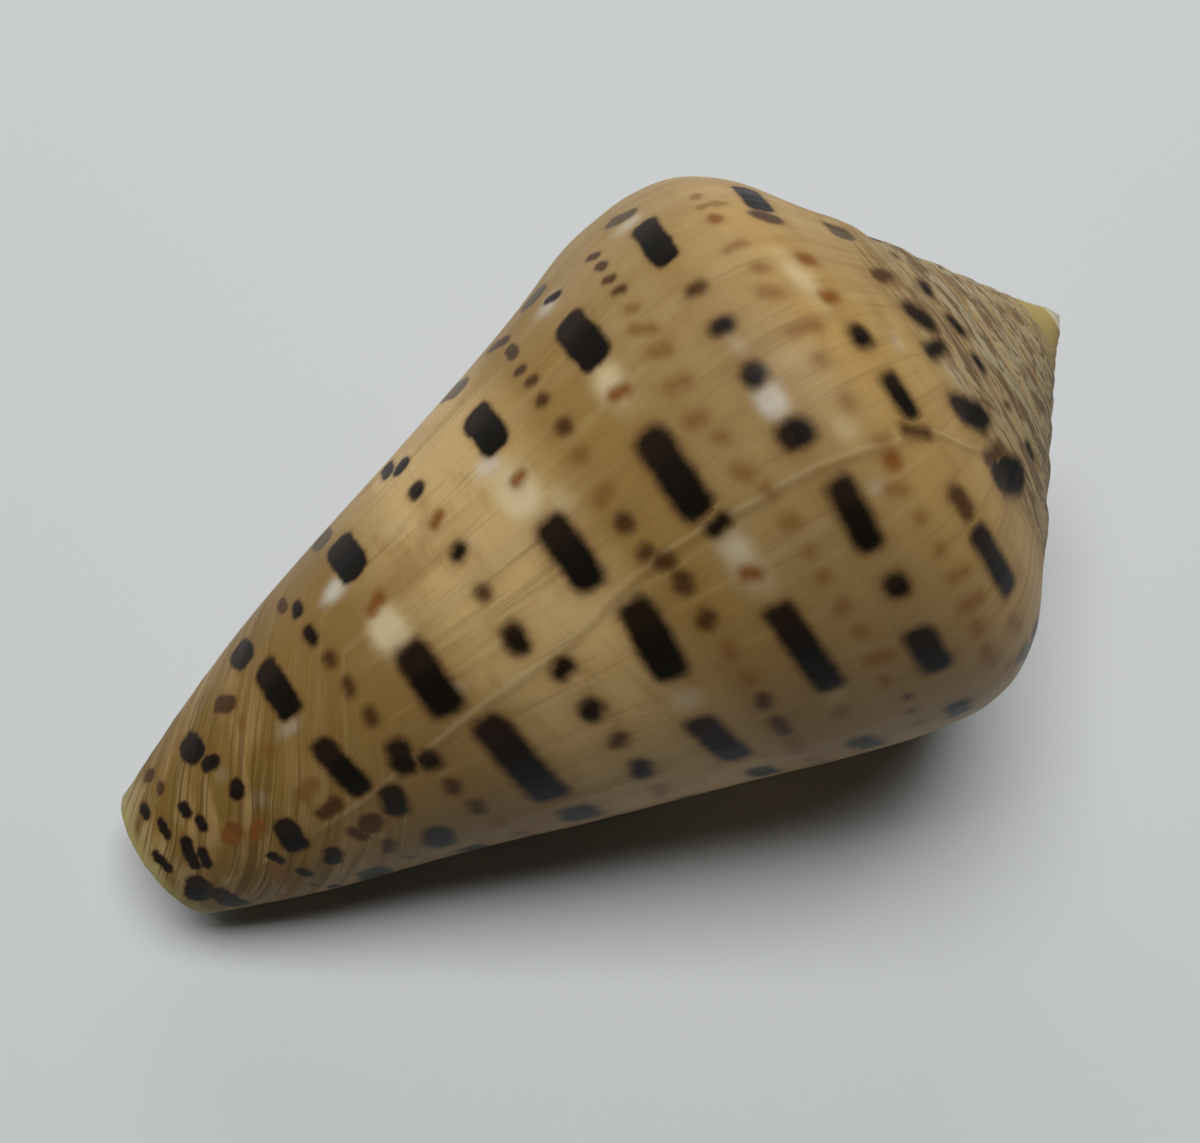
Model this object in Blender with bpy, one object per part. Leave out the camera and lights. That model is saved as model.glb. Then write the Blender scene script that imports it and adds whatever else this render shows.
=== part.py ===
"""Cone shell: one right-handed coiled shell with a low spire, a narrow slit aperture and a pointed tip.

It lies on its side, on a lightly flattened strip of the hidden underside.
"""
import math

import bmesh
import bpy
import numpy as np
from mathutils import Matrix, Vector

# Driving dimensions, lengths in metres
SHELL_LENGTH = 0.090
GROWTH_PER_TURN = 1.33
TURNS_SHOWN_ON_SPIRE = 9
STEPS_PER_TURN = 48
ROWS_ACROSS_RAMP = 3
ROWS_DOWN_SIDE = 26

# Generating curve of the last whorl at the lip, as parts of the shell length.
# The ramp of the spire is a straight line from the apex, then come radius and depth stations.
RAMP_RADIUS_PER_RUN = 0.8164
RAMP_DEPTH_PER_RUN = 0.5775
RAMP_JOIN_RUN = 0.2658
SUTURE_RUN = RAMP_JOIN_RUN / GROWTH_PER_TURN
SUTURE_SWELL = 0.0035
SWELL_TO_UNIT = 6.75
BEFORE_JOIN = 0.8
SIDE_STATIONS = (
    (0.2740, 0.2010),
    (0.2960, 0.2370),
    (0.3025, 0.2784),
    (0.2960, 0.3239),
    (0.2702, 0.4187),
    (0.2419, 0.5138),
    (0.2153, 0.6094),
    (0.1901, 0.7053),
    (0.1618, 0.8004),
    (0.1274, 0.8933),
    (0.0822, 1.0000),
)

# How fast the radius falls going back from the lip, against the share of the way down the side.
SHOULDER_DEPTH = 0.2233
FALL_STATIONS = (0.0, 0.30, 0.55, 0.75, 0.88, 1.0)
FALL_ON_BACK = (1.0, 0.61, 0.79, 1.55, 1.63, 2.0)
FALL_UNDER_LIP = (1.0, 1.10, 1.20, 1.60, 1.80, 2.1)
TIP_DEPTH_FALL = 0.154
UNDER_LIP_FROM = 1.1
UNDER_LIP_SPREAD = 0.9
DEPTH_FALL_FROM = 0.35

# Spire outline and apex
SPIRE_HOLLOWING = 0.014
SPIRE_RADIUS = 0.3233
HOLLOWING_ENDS_AT = 0.2
HOLLOWING_FADE = 0.15
APEX_RISE = 0.006
APEX_RADIUS = 0.018
APEX_POINT_DEPTH = -0.0001
APEX_REACH = 0.004

# Lip, wall and cavity
LIP_CORNER_FLARE = 0.006
FLARE_RUN = 0.50
FLARE_LENGTH = 0.06
FLARE_ANGLE = 0.2
LIP_EDGE_WALL = 0.0010
FULL_WALL = 0.0020
INNER_WALL = 0.0011
WALL_GROWTH_ANGLE = math.radians(50.0)
WALL_THINNING_ANGLE = math.radians(330.0)
CAVITY_BACK_ANGLE = math.radians(860.0)
CAVITY_FRONT_ANGLE = math.radians(-20.0)
CAVITY_STEPS = 88
CAVITY_ROWS = 12
CANAL_CLOSING_ANGLE = math.radians(200.0)
CORE_TIP_DEPTH = 0.955
CANAL_FADE = 0.5
CLOSED_REACH = 0.90
OPEN_REACH = 0.14
THINNING_SPREAD = 0.8
ROOF_CLEARANCE = 0.0004
PARIETAL_SINK = 0.00012
PARIETAL_LIFT = 0.0006
PARIETAL_SPREAD = 0.3

# How the shell lies: the direction that points down, as an angle round the axis from the lip and a
# tilt towards the tip, and how far the flattened underside lies from the apex along that direction.
DOWN_ANGLE = math.radians(-116.5)
DOWN_TILT = math.radians(-15.7)
UNDERSIDE = 0.02806
REST_MOVE = (0.043923, -0.00001, 0.02806)

FULL_TURN = 2.0 * math.pi
ROW_CROWDING = 0.055
RUN_STEP = 0.002
RUN_SEARCH_STEP = 0.001
WELD = 1e-6
FINAL_WELD = 2e-6
TIP_RIM_MARGIN = 1.01


def ease(value):
    clipped = np.clip(value, 0.0, 1.0)
    return clipped * clipped * (3.0 - 2.0 * clipped)


def smooth_through(knots, values, where):
    """A smooth curve through the given values, with slopes taken from the neighbouring knots."""
    knots = np.asarray(knots, float)
    values = np.asarray(values, float)
    slopes = np.gradient(values, knots)
    where = np.clip(where, knots[0], knots[-1])
    cell = np.clip(np.searchsorted(knots, where, side="right") - 1, 0, len(knots) - 2)
    width = knots[cell + 1] - knots[cell]
    part = (where - knots[cell]) / width
    start = (1.0 + 2.0 * part) * (1.0 - part) ** 2
    end = part * part * (3.0 - 2.0 * part)
    leave = part * (1.0 - part) ** 2 * width
    arrive = part * part * (part - 1.0) * width
    return (start * values[cell] + end * values[cell + 1]
            + leave * slopes[cell] + arrive * slopes[cell + 1])


RAMP_END = (RAMP_RADIUS_PER_RUN * RAMP_JOIN_RUN, RAMP_DEPTH_PER_RUN * RAMP_JOIN_RUN)
BEFORE_RAMP_END = (RAMP_END[0] * BEFORE_JOIN, RAMP_END[1] * BEFORE_JOIN)
CURVE_POINTS = np.array((BEFORE_RAMP_END, RAMP_END) + SIDE_STATIONS)
CURVE_STEPS = np.hypot(np.diff(CURVE_POINTS[:, 0]), np.diff(CURVE_POINTS[:, 1]))
CURVE_RUNS = RAMP_JOIN_RUN * BEFORE_JOIN + np.concatenate(([0.0], np.cumsum(CURVE_STEPS)))
CURVE_END = float(CURVE_RUNS[-1])


def generating_curve(run):
    """Radius and depth of the curve at a run measured along it from the apex."""
    on_ramp = run <= RAMP_JOIN_RUN
    radius = np.where(on_ramp, RAMP_RADIUS_PER_RUN * run, smooth_through(CURVE_RUNS, CURVE_POINTS[:, 0], run))
    depth = np.where(on_ramp, RAMP_DEPTH_PER_RUN * run, smooth_through(CURVE_RUNS, CURVE_POINTS[:, 1], run))
    across = np.clip((run - SUTURE_RUN) / (RAMP_JOIN_RUN - SUTURE_RUN), 0.0, 1.0)
    swell = SUTURE_SWELL * SWELL_TO_UNIT * across * (1.0 - across) ** 2
    return radius + RAMP_DEPTH_PER_RUN * swell, depth - RAMP_RADIUS_PER_RUN * swell


def section_point(run, back):
    """Radius and height, in metres, of the outer surface at an angle back from the lip."""
    run = np.asarray(run, float)
    radius, depth = generating_curve(run)
    down = (depth - SHOULDER_DEPTH) / (1.0 - SHOULDER_DEPTH)
    on_back = smooth_through(FALL_STATIONS, FALL_ON_BACK, down)
    under_lip = smooth_through(FALL_STATIONS, FALL_UNDER_LIP, down)
    fall = on_back + (under_lip - on_back) * ease((back / math.pi - UNDER_LIP_FROM) / UNDER_LIP_SPREAD)
    depth_fall = 1.0 - (1.0 - TIP_DEPTH_FALL) * ease((down - DEPTH_FALL_FROM) / (1.0 - DEPTH_FALL_FROM))
    turns = back / FULL_TURN
    flare = LIP_CORNER_FLARE * np.exp(-((run - FLARE_RUN) / FLARE_LENGTH) ** 2 - (back / FLARE_ANGLE) ** 2)
    radius = (radius + flare) * GROWTH_PER_TURN ** (-fall * turns)
    depth = depth * GROWTH_PER_TURN ** (-depth_fall * turns)
    inward = np.clip(radius / SPIRE_RADIUS, 0.0, 1.0)
    on_spire = 1.0 - ease((depth - HOLLOWING_ENDS_AT) / HOLLOWING_FADE)
    sinking = SPIRE_HOLLOWING * inward * (1.0 - inward) * on_spire
    depth = depth + sinking - APEX_RISE * np.exp(-(radius / APEX_RADIUS) ** 2)
    return radius * SHELL_LENGTH, -depth * SHELL_LENGTH


def place(radius, height, back):
    """The coil is right-handed: going back from the lip the polar angle rises."""
    return Vector((radius * math.cos(back), radius * math.sin(back), height))


DOWN = Vector((math.cos(DOWN_TILT) * math.cos(DOWN_ANGLE), math.cos(DOWN_TILT) * math.sin(DOWN_ANGLE),
               math.sin(DOWN_TILT)))


def surface_point(run, back):
    """A point of the outside. The underside is flattened a little, where the shell lies on it."""
    radius, height = section_point(run, back)
    point = place(float(radius), float(height), back)
    return point - DOWN * max(point.dot(DOWN) - UNDERSIDE, 0.0)


def inset_section(run, back, wall):
    """Radius and height a wall thickness inside the outer surface."""
    ahead = section_point(run + RUN_STEP, back)
    behind = section_point(run - RUN_STEP, back)
    along = (ahead[0] - behind[0], ahead[1] - behind[1])
    size = math.hypot(*along)
    radius, height = section_point(run, back)
    return float(radius + wall * along[1] / size), float(height - wall * along[0] / size)


def add_sheet(bm, rows, columns, position):
    """A grid of rows by columns of faces whose vertices are put on the surface."""
    made = bmesh.ops.create_grid(bm, x_segments=rows, y_segments=columns, size=1.0)
    for vertex in made["verts"]:
        row = round((vertex.co.x + 1.0) * 0.5 * rows)
        column = round((vertex.co.y + 1.0) * 0.5 * columns)
        vertex.co = position(row, column)


def side_run(column):
    """Runs down the side, closer together over the rounded shoulder."""
    share = column / ROWS_DOWN_SIDE
    share = share - ROW_CROWDING * math.sin(FULL_TURN * share)
    return RAMP_JOIN_RUN + (CURVE_END - RAMP_JOIN_RUN) * share


def fan_to(bm, edges, centre):
    """Join each edge to one middle vertex with a triangle."""
    middle = bm.verts.new(centre)
    for edge in edges:
        bm.faces.new((edge.verts[0], edge.verts[1], middle))


def close_openings(bm):
    """Fill every open rim with a face and cut it into triangles."""
    rims = [edge for edge in bm.edges if edge.is_boundary]
    bmesh.ops.holes_fill(bm, edges=rims, sides=0)
    wide = [face for face in bm.faces if len(face.verts) > 4]
    bmesh.ops.triangulate(bm, faces=wide, quad_method="BEAUTY", ngon_method="BEAUTY")


def face_outward(bm):
    bmesh.ops.recalc_face_normals(bm, faces=bm.faces)
    if bm.calc_volume(signed=True) < 0.0:
        bmesh.ops.reverse_faces(bm, faces=bm.faces)


def finish_mesh(bm, name):
    face_outward(bm)
    mesh = bpy.data.meshes.new(name)
    bm.to_mesh(mesh)
    bm.free()
    made = bpy.data.objects.new(name, mesh)
    bpy.context.scene.collection.objects.link(made)
    return made


def build_outside():
    """The whole outside: spire strip, last whorl, the step at the lip and the tip."""
    bm = bmesh.new()
    step = FULL_TURN / STEPS_PER_TURN
    spire_steps = STEPS_PER_TURN * TURNS_SHOWN_ON_SPIRE

    def on_spire(row, column):
        run = SUTURE_RUN + (RAMP_JOIN_RUN - SUTURE_RUN) * column / ROWS_ACROSS_RAMP
        return surface_point(run, row * step)

    def on_side(row, column):
        return surface_point(side_run(column), row * step)

    add_sheet(bm, spire_steps, ROWS_ACROSS_RAMP, on_spire)
    add_sheet(bm, STEPS_PER_TURN, ROWS_DOWN_SIDE, on_side)
    bmesh.ops.remove_doubles(bm, verts=bm.verts, dist=WELD)

    # The tip: a shallow dish from the front rim to the end of the core
    tip_radius = section_point(CURVE_END, 0.0)[0] * TIP_RIM_MARGIN
    rim = [edge for edge in bm.edges if edge.is_boundary and edge.verts[0].co.z < -0.5 * SHELL_LENGTH
           and edge.verts[1].co.z < -0.5 * SHELL_LENGTH]
    front = []
    for edge in rim:
        ends = [vertex.co for vertex in edge.verts]
        turned = abs(math.atan2(ends[0].y, ends[0].x) - math.atan2(ends[1].y, ends[1].x))
        if min(turned, FULL_TURN - turned) > 0.5 * step and max(end.xy.length for end in ends) < tip_radius:
            front.append(edge)
    fan_to(bm, front, Vector((0.0, 0.0, -CORE_TIP_DEPTH * SHELL_LENGTH)))

    # The apex: the last small turn of the strip runs to a point
    crown = [edge for edge in bm.edges if edge.is_boundary and max(end.co.z for end in edge.verts) > -APEX_REACH]
    fan_to(bm, crown, Vector((0.0, 0.0, -APEX_POINT_DEPTH)))
    close_openings(bm)
    return finish_mesh(bm, "outside")


def wall_at(back):
    """Thin at the lip edge, thick over the last whorl, thin again between the whorls inside."""
    grown = LIP_EDGE_WALL + (FULL_WALL - LIP_EDGE_WALL) * float(ease(back / WALL_GROWTH_ANGLE))
    return grown + (INNER_WALL - FULL_WALL) * float(ease((back - WALL_THINNING_ANGLE) / THINNING_SPREAD))


def corner_runs():
    """Runs on the core and under the ramp where the cavity starts, one wall thickness below the ramp."""
    slope = (RAMP_RADIUS_PER_RUN, RAMP_DEPTH_PER_RUN)
    run = RAMP_JOIN_RUN
    while run < CURVE_END:
        radius, height = section_point(run, FULL_TURN)
        depth = -height
        below = (depth * slope[0] - radius * slope[1]) / math.hypot(*slope)
        if below > FULL_WALL + ROOF_CLEARANCE:
            along = (radius * slope[0] + depth * slope[1]) / (SHELL_LENGTH * math.hypot(*slope))
            return run, float(along)
        run += RUN_SEARCH_STEP
    return run, run


def build_cavity():
    """The space inside the last whorl, as a solid to take away."""
    bm = bmesh.new()
    core_start, roof_start = corner_runs()
    span = CAVITY_BACK_ANGLE - CAVITY_FRONT_ANGLE
    loop = 2 * CAVITY_ROWS

    def at(row, column):
        back = CAVITY_FRONT_ANGLE + span * row / CAVITY_STEPS
        column = column % loop
        open_end = 1.0 - float(ease((back - CANAL_CLOSING_ANGLE) / CANAL_FADE + 0.5))
        reach = CLOSED_REACH + OPEN_REACH * open_end
        if column < CAVITY_ROWS:
            share = column / CAVITY_ROWS
            run = roof_start + (CURVE_END - roof_start) * min(share * reach, 1.0)
            radius, height = inset_section(run, back, wall_at(back))
            if share == 0.0:
                radius, height = section_point(core_start, back + FULL_TURN)
        else:
            share = (loop - column) / CAVITY_ROWS
            run = core_start + (CURVE_END - core_start) * min(share * reach, 1.0)
            sink = PARIETAL_SINK - (PARIETAL_SINK + PARIETAL_LIFT) * float(ease(-back / PARIETAL_SPREAD))
            radius, height = inset_section(run, back + FULL_TURN, sink)
        beyond = max(share * reach - 1.0, 0.0)
        return place(float(radius), float(height) - beyond * SHELL_LENGTH, back)

    add_sheet(bm, CAVITY_STEPS, loop, at)
    bmesh.ops.remove_doubles(bm, verts=bm.verts, dist=WELD)
    close_openings(bm)
    return finish_mesh(bm, "cavity")


def lying_turn():
    """Down goes to -Z, and the axis towards the apex goes to +X seen from above."""
    up = -DOWN
    along = (Vector((0.0, 0.0, 1.0)) - up * up.z).normalized()
    across = up.cross(along)
    return Matrix((along, across, up)).to_4x4()


def make_material(name):
    material = bpy.data.materials.new(name)
    material.use_nodes = True
    shader = material.node_tree.nodes["Principled BSDF"]
    shader.inputs["Base Color"].default_value = (0.50, 0.36, 0.22, 1.0)
    shader.inputs["Roughness"].default_value = 0.38
    return material


for leftover in list(bpy.data.objects):
    bpy.data.objects.remove(leftover)

outside = build_outside()
cavity = build_cavity()
hollowing = outside.modifiers.new("hollow", "BOOLEAN")
hollowing.operation = "DIFFERENCE"
hollowing.solver = "EXACT"
hollowing.object = cavity
bpy.context.view_layer.update()
evaluated = outside.evaluated_get(bpy.context.evaluated_depsgraph_get())
shell_mesh = bpy.data.meshes.new_from_object(evaluated)
shell_mesh.name = "shell"
shell = bpy.data.objects.new("shell", shell_mesh)
bpy.context.scene.collection.objects.link(shell)
bpy.data.objects.remove(outside)
bpy.data.objects.remove(cavity)

tidy = bmesh.new()
tidy.from_mesh(shell_mesh)
bmesh.ops.remove_doubles(tidy, verts=tidy.verts, dist=FINAL_WELD)
bmesh.ops.dissolve_degenerate(tidy, edges=tidy.edges, dist=FINAL_WELD)
bmesh.ops.triangulate(tidy, faces=tidy.faces, quad_method="BEAUTY", ngon_method="BEAUTY")
bmesh.ops.transform(tidy, matrix=Matrix.Translation(REST_MOVE) @ lying_turn(), verts=tidy.verts)
face_outward(tidy)
open_edges = sum(1 for edge in tidy.edges if not edge.is_manifold)
tidy.to_mesh(shell_mesh)
shell_mesh.materials.clear()
shell_mesh.materials.append(make_material("shell_porcelain"))
for polygon in shell_mesh.polygons:
    polygon.use_smooth = True
print("shell triangles", len(shell_mesh.polygons), "edges not shared by two faces", open_edges)
tidy.free()
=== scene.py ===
# %% [markdown]
# # A spotted cone shell, lying on a pale floor
# The object is one sea shell, coiled to the right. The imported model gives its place, its size and how it
# lies. This lesson makes a finer skin over the same growth law, and then paints it: rows of black-brown
# bars, small brown and orange dots, cream patches, growth lines and a flecked spire.

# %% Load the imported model
import math
import random

import bmesh
import bpy
import numpy as np
from mathutils import Matrix, Vector


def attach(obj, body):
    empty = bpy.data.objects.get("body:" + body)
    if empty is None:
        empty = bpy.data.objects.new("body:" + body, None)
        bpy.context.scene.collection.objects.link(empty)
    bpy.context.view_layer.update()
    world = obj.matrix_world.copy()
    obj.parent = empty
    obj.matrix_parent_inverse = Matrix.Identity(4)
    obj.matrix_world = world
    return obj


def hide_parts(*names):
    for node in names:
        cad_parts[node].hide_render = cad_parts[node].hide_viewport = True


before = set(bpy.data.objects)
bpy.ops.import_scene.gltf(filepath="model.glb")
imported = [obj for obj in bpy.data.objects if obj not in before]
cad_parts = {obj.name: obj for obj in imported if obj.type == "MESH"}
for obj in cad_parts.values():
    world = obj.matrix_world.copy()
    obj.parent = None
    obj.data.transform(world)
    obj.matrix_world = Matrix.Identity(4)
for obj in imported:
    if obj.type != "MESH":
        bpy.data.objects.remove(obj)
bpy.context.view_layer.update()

scene = bpy.context.scene


def add_object(name, data):
    made = bpy.data.objects.new(name, data)
    scene.collection.objects.link(made)
    return made


# %% [markdown]
# ## Camera
# The picture was taken from close above, about 15 cm from the shell, so the nearer side looks larger.
# A long lens further away would show the right outline but the wrong rows of spots. The camera therefore
# gets the place that makes outline, spots and sutures fall where the picture has them, with no shift.

# %% Camera
CAMERA_PLACE = Vector((-0.02081, -0.03913, 0.14596))
CAMERA_RIGHT = Vector((0.87858, -0.47759, 0.00045))
CAMERA_AHEAD = Vector((0.16288, 0.29875, -0.94033))
LENS_MM = 48.0
SENSOR_MM = 36.0

camera_data = bpy.data.cameras.new("camera")
camera_data.lens = LENS_MM
camera_data.sensor_width = SENSOR_MM
camera_data.clip_start = 0.005
camera_data.clip_end = 20.0
camera = add_object("camera", camera_data)
camera_up = CAMERA_RIGHT.cross(CAMERA_AHEAD).normalized()
turn = Matrix((CAMERA_RIGHT.normalized(), camera_up, -CAMERA_AHEAD.normalized())).transposed()
camera.matrix_world = Matrix.Translation(CAMERA_PLACE) @ turn.to_4x4()
scene.camera = camera
print("camera height, mm:", round(1000.0 * CAMERA_PLACE.z))

# %% [markdown]
# ## The growth law
# A cone shell is one sheet wound round an axis. Each turn back from the lip is the same outline made
# smaller by a steady factor. Two numbers therefore name every point of the skin: `run`, how far it lies
# along the outline from the apex, and `back`, the angle grown since that point was the lip. Free
# sculpting could give the look of one side, but this law also puts the spire, the slit and the hidden
# side where they belong, and it gives the paint its own coordinates. The numbers are those of the
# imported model.

# %% Growth law: outline of the last turn
SHELL_LENGTH = 0.090
GROWTH_PER_TURN = 1.33
FULL_TURN = 2.0 * math.pi
RAMP_RADIUS_PER_RUN = 0.8164
RAMP_DEPTH_PER_RUN = 0.5775
RAMP_JOIN_RUN = 0.2658
SUTURE_RUN = RAMP_JOIN_RUN / GROWTH_PER_TURN
SUTURE_SWELL = 0.0035
SIDE_STATIONS = (
    (0.2740, 0.2010), (0.2960, 0.2370), (0.3025, 0.2784), (0.2960, 0.3239), (0.2702, 0.4187),
    (0.2419, 0.5138), (0.2153, 0.6094), (0.1901, 0.7053), (0.1618, 0.8004), (0.1274, 0.8933),
    (0.0822, 1.0000),
)


def ease(value):
    clipped = np.clip(value, 0.0, 1.0)
    return clipped * clipped * (3.0 - 2.0 * clipped)


def smooth_through(knots, values, where):
    """A smooth curve through the given values, held level beyond both ends."""
    knots = np.asarray(knots, float)
    values = np.asarray(values, float)
    slopes = np.gradient(values, knots)
    where = np.clip(where, knots[0], knots[-1])
    cell = np.clip(np.searchsorted(knots, where, side="right") - 1, 0, len(knots) - 2)
    width = knots[cell + 1] - knots[cell]
    part = (where - knots[cell]) / width
    start = (1.0 + 2.0 * part) * (1.0 - part) ** 2
    end = part * part * (3.0 - 2.0 * part)
    leave = part * (1.0 - part) ** 2 * width
    arrive = part * part * (part - 1.0) * width
    return start * values[cell] + end * values[cell + 1] + leave * slopes[cell] + arrive * slopes[cell + 1]


RAMP_END = (RAMP_RADIUS_PER_RUN * RAMP_JOIN_RUN, RAMP_DEPTH_PER_RUN * RAMP_JOIN_RUN)
BEFORE_RAMP_END = (RAMP_END[0] * 0.8, RAMP_END[1] * 0.8)
CURVE_POINTS = np.array((BEFORE_RAMP_END, RAMP_END) + SIDE_STATIONS)
CURVE_STEPS = np.hypot(np.diff(CURVE_POINTS[:, 0]), np.diff(CURVE_POINTS[:, 1]))
CURVE_RUNS = RAMP_JOIN_RUN * 0.8 + np.concatenate(([0.0], np.cumsum(CURVE_STEPS)))
CURVE_END = float(CURVE_RUNS[-1])


def generating_curve(run):
    """Radius and depth of the outline at a run measured along it from the apex."""
    on_ramp = run <= RAMP_JOIN_RUN
    radius = np.where(on_ramp, RAMP_RADIUS_PER_RUN * run, smooth_through(CURVE_RUNS, CURVE_POINTS[:, 0], run))
    depth = np.where(on_ramp, RAMP_DEPTH_PER_RUN * run, smooth_through(CURVE_RUNS, CURVE_POINTS[:, 1], run))
    across = np.clip((run - SUTURE_RUN) / (RAMP_JOIN_RUN - SUTURE_RUN), 0.0, 1.0)
    swell = SUTURE_SWELL * 6.75 * across * (1.0 - across) ** 2
    return radius + RAMP_DEPTH_PER_RUN * swell, depth - RAMP_RADIUS_PER_RUN * swell


print("outline length, mm:", round(1000.0 * CURVE_END * SHELL_LENGTH, 1))

# %% Growth law: how the outline shrinks going back from the lip
SHOULDER_DEPTH = 0.2233
FALL_STATIONS = (0.0, 0.30, 0.55, 0.75, 0.88, 1.0)
FALL_ON_BACK = (1.0, 0.61, 0.79, 1.55, 1.63, 2.0)
FALL_UNDER_LIP = (1.0, 1.10, 1.20, 1.60, 1.80, 2.1)
TIP_DEPTH_FALL = 0.154
SPIRE_HOLLOWING = 0.014
SPIRE_RADIUS = 0.3233
APEX_RISE = 0.006
APEX_RADIUS = 0.018
LIP_CORNER_FLARE = 0.006
LIP_CORNER_RUN = 0.50


def section_point(run, back):
    """Radius and height, in metres, of the skin at an angle back from the lip."""
    radius, depth = generating_curve(np.asarray(run, float))
    down = (depth - SHOULDER_DEPTH) / (1.0 - SHOULDER_DEPTH)
    on_back = smooth_through(FALL_STATIONS, FALL_ON_BACK, down)
    under_lip = smooth_through(FALL_STATIONS, FALL_UNDER_LIP, down)
    fall = on_back + (under_lip - on_back) * ease((back / math.pi - 1.1) / 0.9)
    depth_fall = 1.0 - (1.0 - TIP_DEPTH_FALL) * ease((down - 0.35) / 0.65)
    turns = back / FULL_TURN
    flare = LIP_CORNER_FLARE * np.exp(-((run - LIP_CORNER_RUN) / 0.06) ** 2) * np.exp(-(back / 0.2) ** 2)
    radius = (radius + flare) * GROWTH_PER_TURN ** (-fall * turns)
    depth = depth * GROWTH_PER_TURN ** (-depth_fall * turns)
    inward = np.clip(radius / SPIRE_RADIUS, 0.0, 1.0)
    sinking = SPIRE_HOLLOWING * inward * (1.0 - inward) * (1.0 - ease((depth - 0.2) / 0.15))
    depth = depth + sinking - APEX_RISE * np.exp(-(radius / APEX_RADIUS) ** 2)
    return radius * SHELL_LENGTH, -depth * SHELL_LENGTH


# %% How the shell lies
DOWN_ANGLE = math.radians(-116.5)
DOWN_TILT = math.radians(-15.7)
DOWN = np.array((math.cos(DOWN_TILT) * math.cos(DOWN_ANGLE), math.cos(DOWN_TILT) * math.sin(DOWN_ANGLE),
                 math.sin(DOWN_TILT)))
UNDERSIDE = 0.02806
REST_MOVE = Vector((0.043923, -0.00001, 0.02806))


def lying_place():
    """Down goes to -Z, and the axis towards the apex goes to +X seen from above."""
    up = -Vector(DOWN)
    along = (Vector((0.0, 0.0, 1.0)) - up * up.z).normalized()
    across = up.cross(along)
    return Matrix.Translation(REST_MOVE) @ Matrix((along, across, up)).to_4x4()


def plain_skin(run, back):
    """Points of the skin round the axis, before it is laid down. The underside is pressed flat a little."""
    radius, height = section_point(run, back)
    points = np.stack((radius * np.cos(back), radius * np.sin(back), height), axis=-1)
    below = np.maximum(points @ DOWN - UNDERSIDE, 0.0)
    return points - below[..., None] * DOWN


print("lip corner, mm from the axis:", round(1000.0 * float(section_point(0.5, 0.0)[0]), 2))

# %% [markdown]
# ## Relief that is grown, not painted
# A real shell isn't as smooth as its law. Growth stopped now and then and left low lengthwise steps, one
# of them clear across the back, and near the tip the growth lines stand up as threads. Such relief could
# be a bump in the material alone, but a shape that can be felt belongs in the mesh, so these low waves
# move the skin along its normal. Only what is finer than the mesh is left to bump.

# %% Relief
MM = 0.001
SCAR_RUNS_MM = (18.0, 25.2, 30.4, 32.9, 39.2, 46.1, 51.5, 57.6, 64.7, 71.8, 77.1, 85.4, 108.0)
SCAR_DEGREES = (104.0, 96.2, 85.1, 83.8, 80.4, 79.8, 79.4, 80.7, 84.9, 87.0, 89.9, 96.4, 112.0)
SCAR_HEIGHT = 0.028 * MM
GROWTH_WAVES = ((0.030, 3.1, 11.0, 0.4), (0.022, 5.3, -17.0, 2.1), (0.014, 11.7, 23.0, 4.0))
TIP_WAVES = ((0.05, 15.0, -127.0, 1.0), (0.04, 26.0, -220.0, 2.6), (0.02, 34.0, -288.0, 5.1))


def scar_distance_mm(run, back, radius_mm):
    """How far, in millimetres round the shell, a point lies past the old growth scar."""
    middle = np.radians(smooth_through(SCAR_RUNS_MM, SCAR_DEGREES, run * 1000.0 * SHELL_LENGTH))
    return (back - middle) * radius_mm


def relief(run, back):
    """Height of the low growth relief above the plain skin, in metres."""
    radius_mm = section_point(run, back)[0] * 1000.0
    past = scar_distance_mm(run, back, radius_mm)
    ridge = np.exp(-(past / 0.45) ** 2) - 0.5 * np.exp(-((past - 1.1) / 0.7) ** 2)
    height = SCAR_HEIGHT * ridge
    for tall, across, along, start in GROWTH_WAVES:
        height = height + tall * MM * np.sin(across * back + along * run + start)
    near_tip = ease((run - 0.92) / 0.22)
    for tall, across, along, start in TIP_WAVES:
        height = height + near_tip * tall * MM * np.sin(across * back + along * run + start)
    size = section_point(run, back)[0] / (0.30 * SHELL_LENGTH)
    return height * np.clip(size, 0.0, 1.0)


def skin(run, back):
    """The skin with its relief, as an array of points round the axis."""
    run, back = np.broadcast_arrays(np.asarray(run, float), np.asarray(back, float))
    small = 1e-4
    along_run = plain_skin(run + small, back) - plain_skin(run - small, back)
    along_back = plain_skin(run, back + small) - plain_skin(run, back - small)
    normal = np.cross(along_back, along_run)
    normal = normal / np.maximum(np.linalg.norm(normal, axis=-1, keepdims=True), 1e-12)
    points = plain_skin(run, back)
    outward = np.stack((np.cos(back), np.sin(back), np.zeros_like(back)), axis=-1)
    facing = np.sign(np.sum(normal * outward, axis=-1, keepdims=True) + 1e-9)
    fade = ease((run - RAMP_JOIN_RUN) / 0.04)[..., None]
    return points + normal * facing * relief(run, back)[..., None] * fade


print("relief, mm:", round(1000.0 * float(np.ptp(relief(np.full(400, 0.6), np.linspace(0.0, 3.0, 400)))), 3))

# %% [markdown]
# ## The skin as two sheets
# The skin could be swept with Blender's screw tool, but a screw can't change the outline as it turns.
# Instead two flat grids are made and each vertex is sent to its place by the growth law: one grid for the
# ramp of the spire, nine turns long, and one for the side of the last turn. The grid is finer on the side
# that shows. Each sheet carries a UV map of turns and run, so that the paint knows where it is.

# %% Grid of the skin
SPIRE_TURNS = 9
FINE_DEGREES = 0.74
COARSE_DEGREES = 2.1
FINE_END = 165.0
SIDE_ROWS = 176
RAMP_ROWS = 4
WELD = 1e-6

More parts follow.
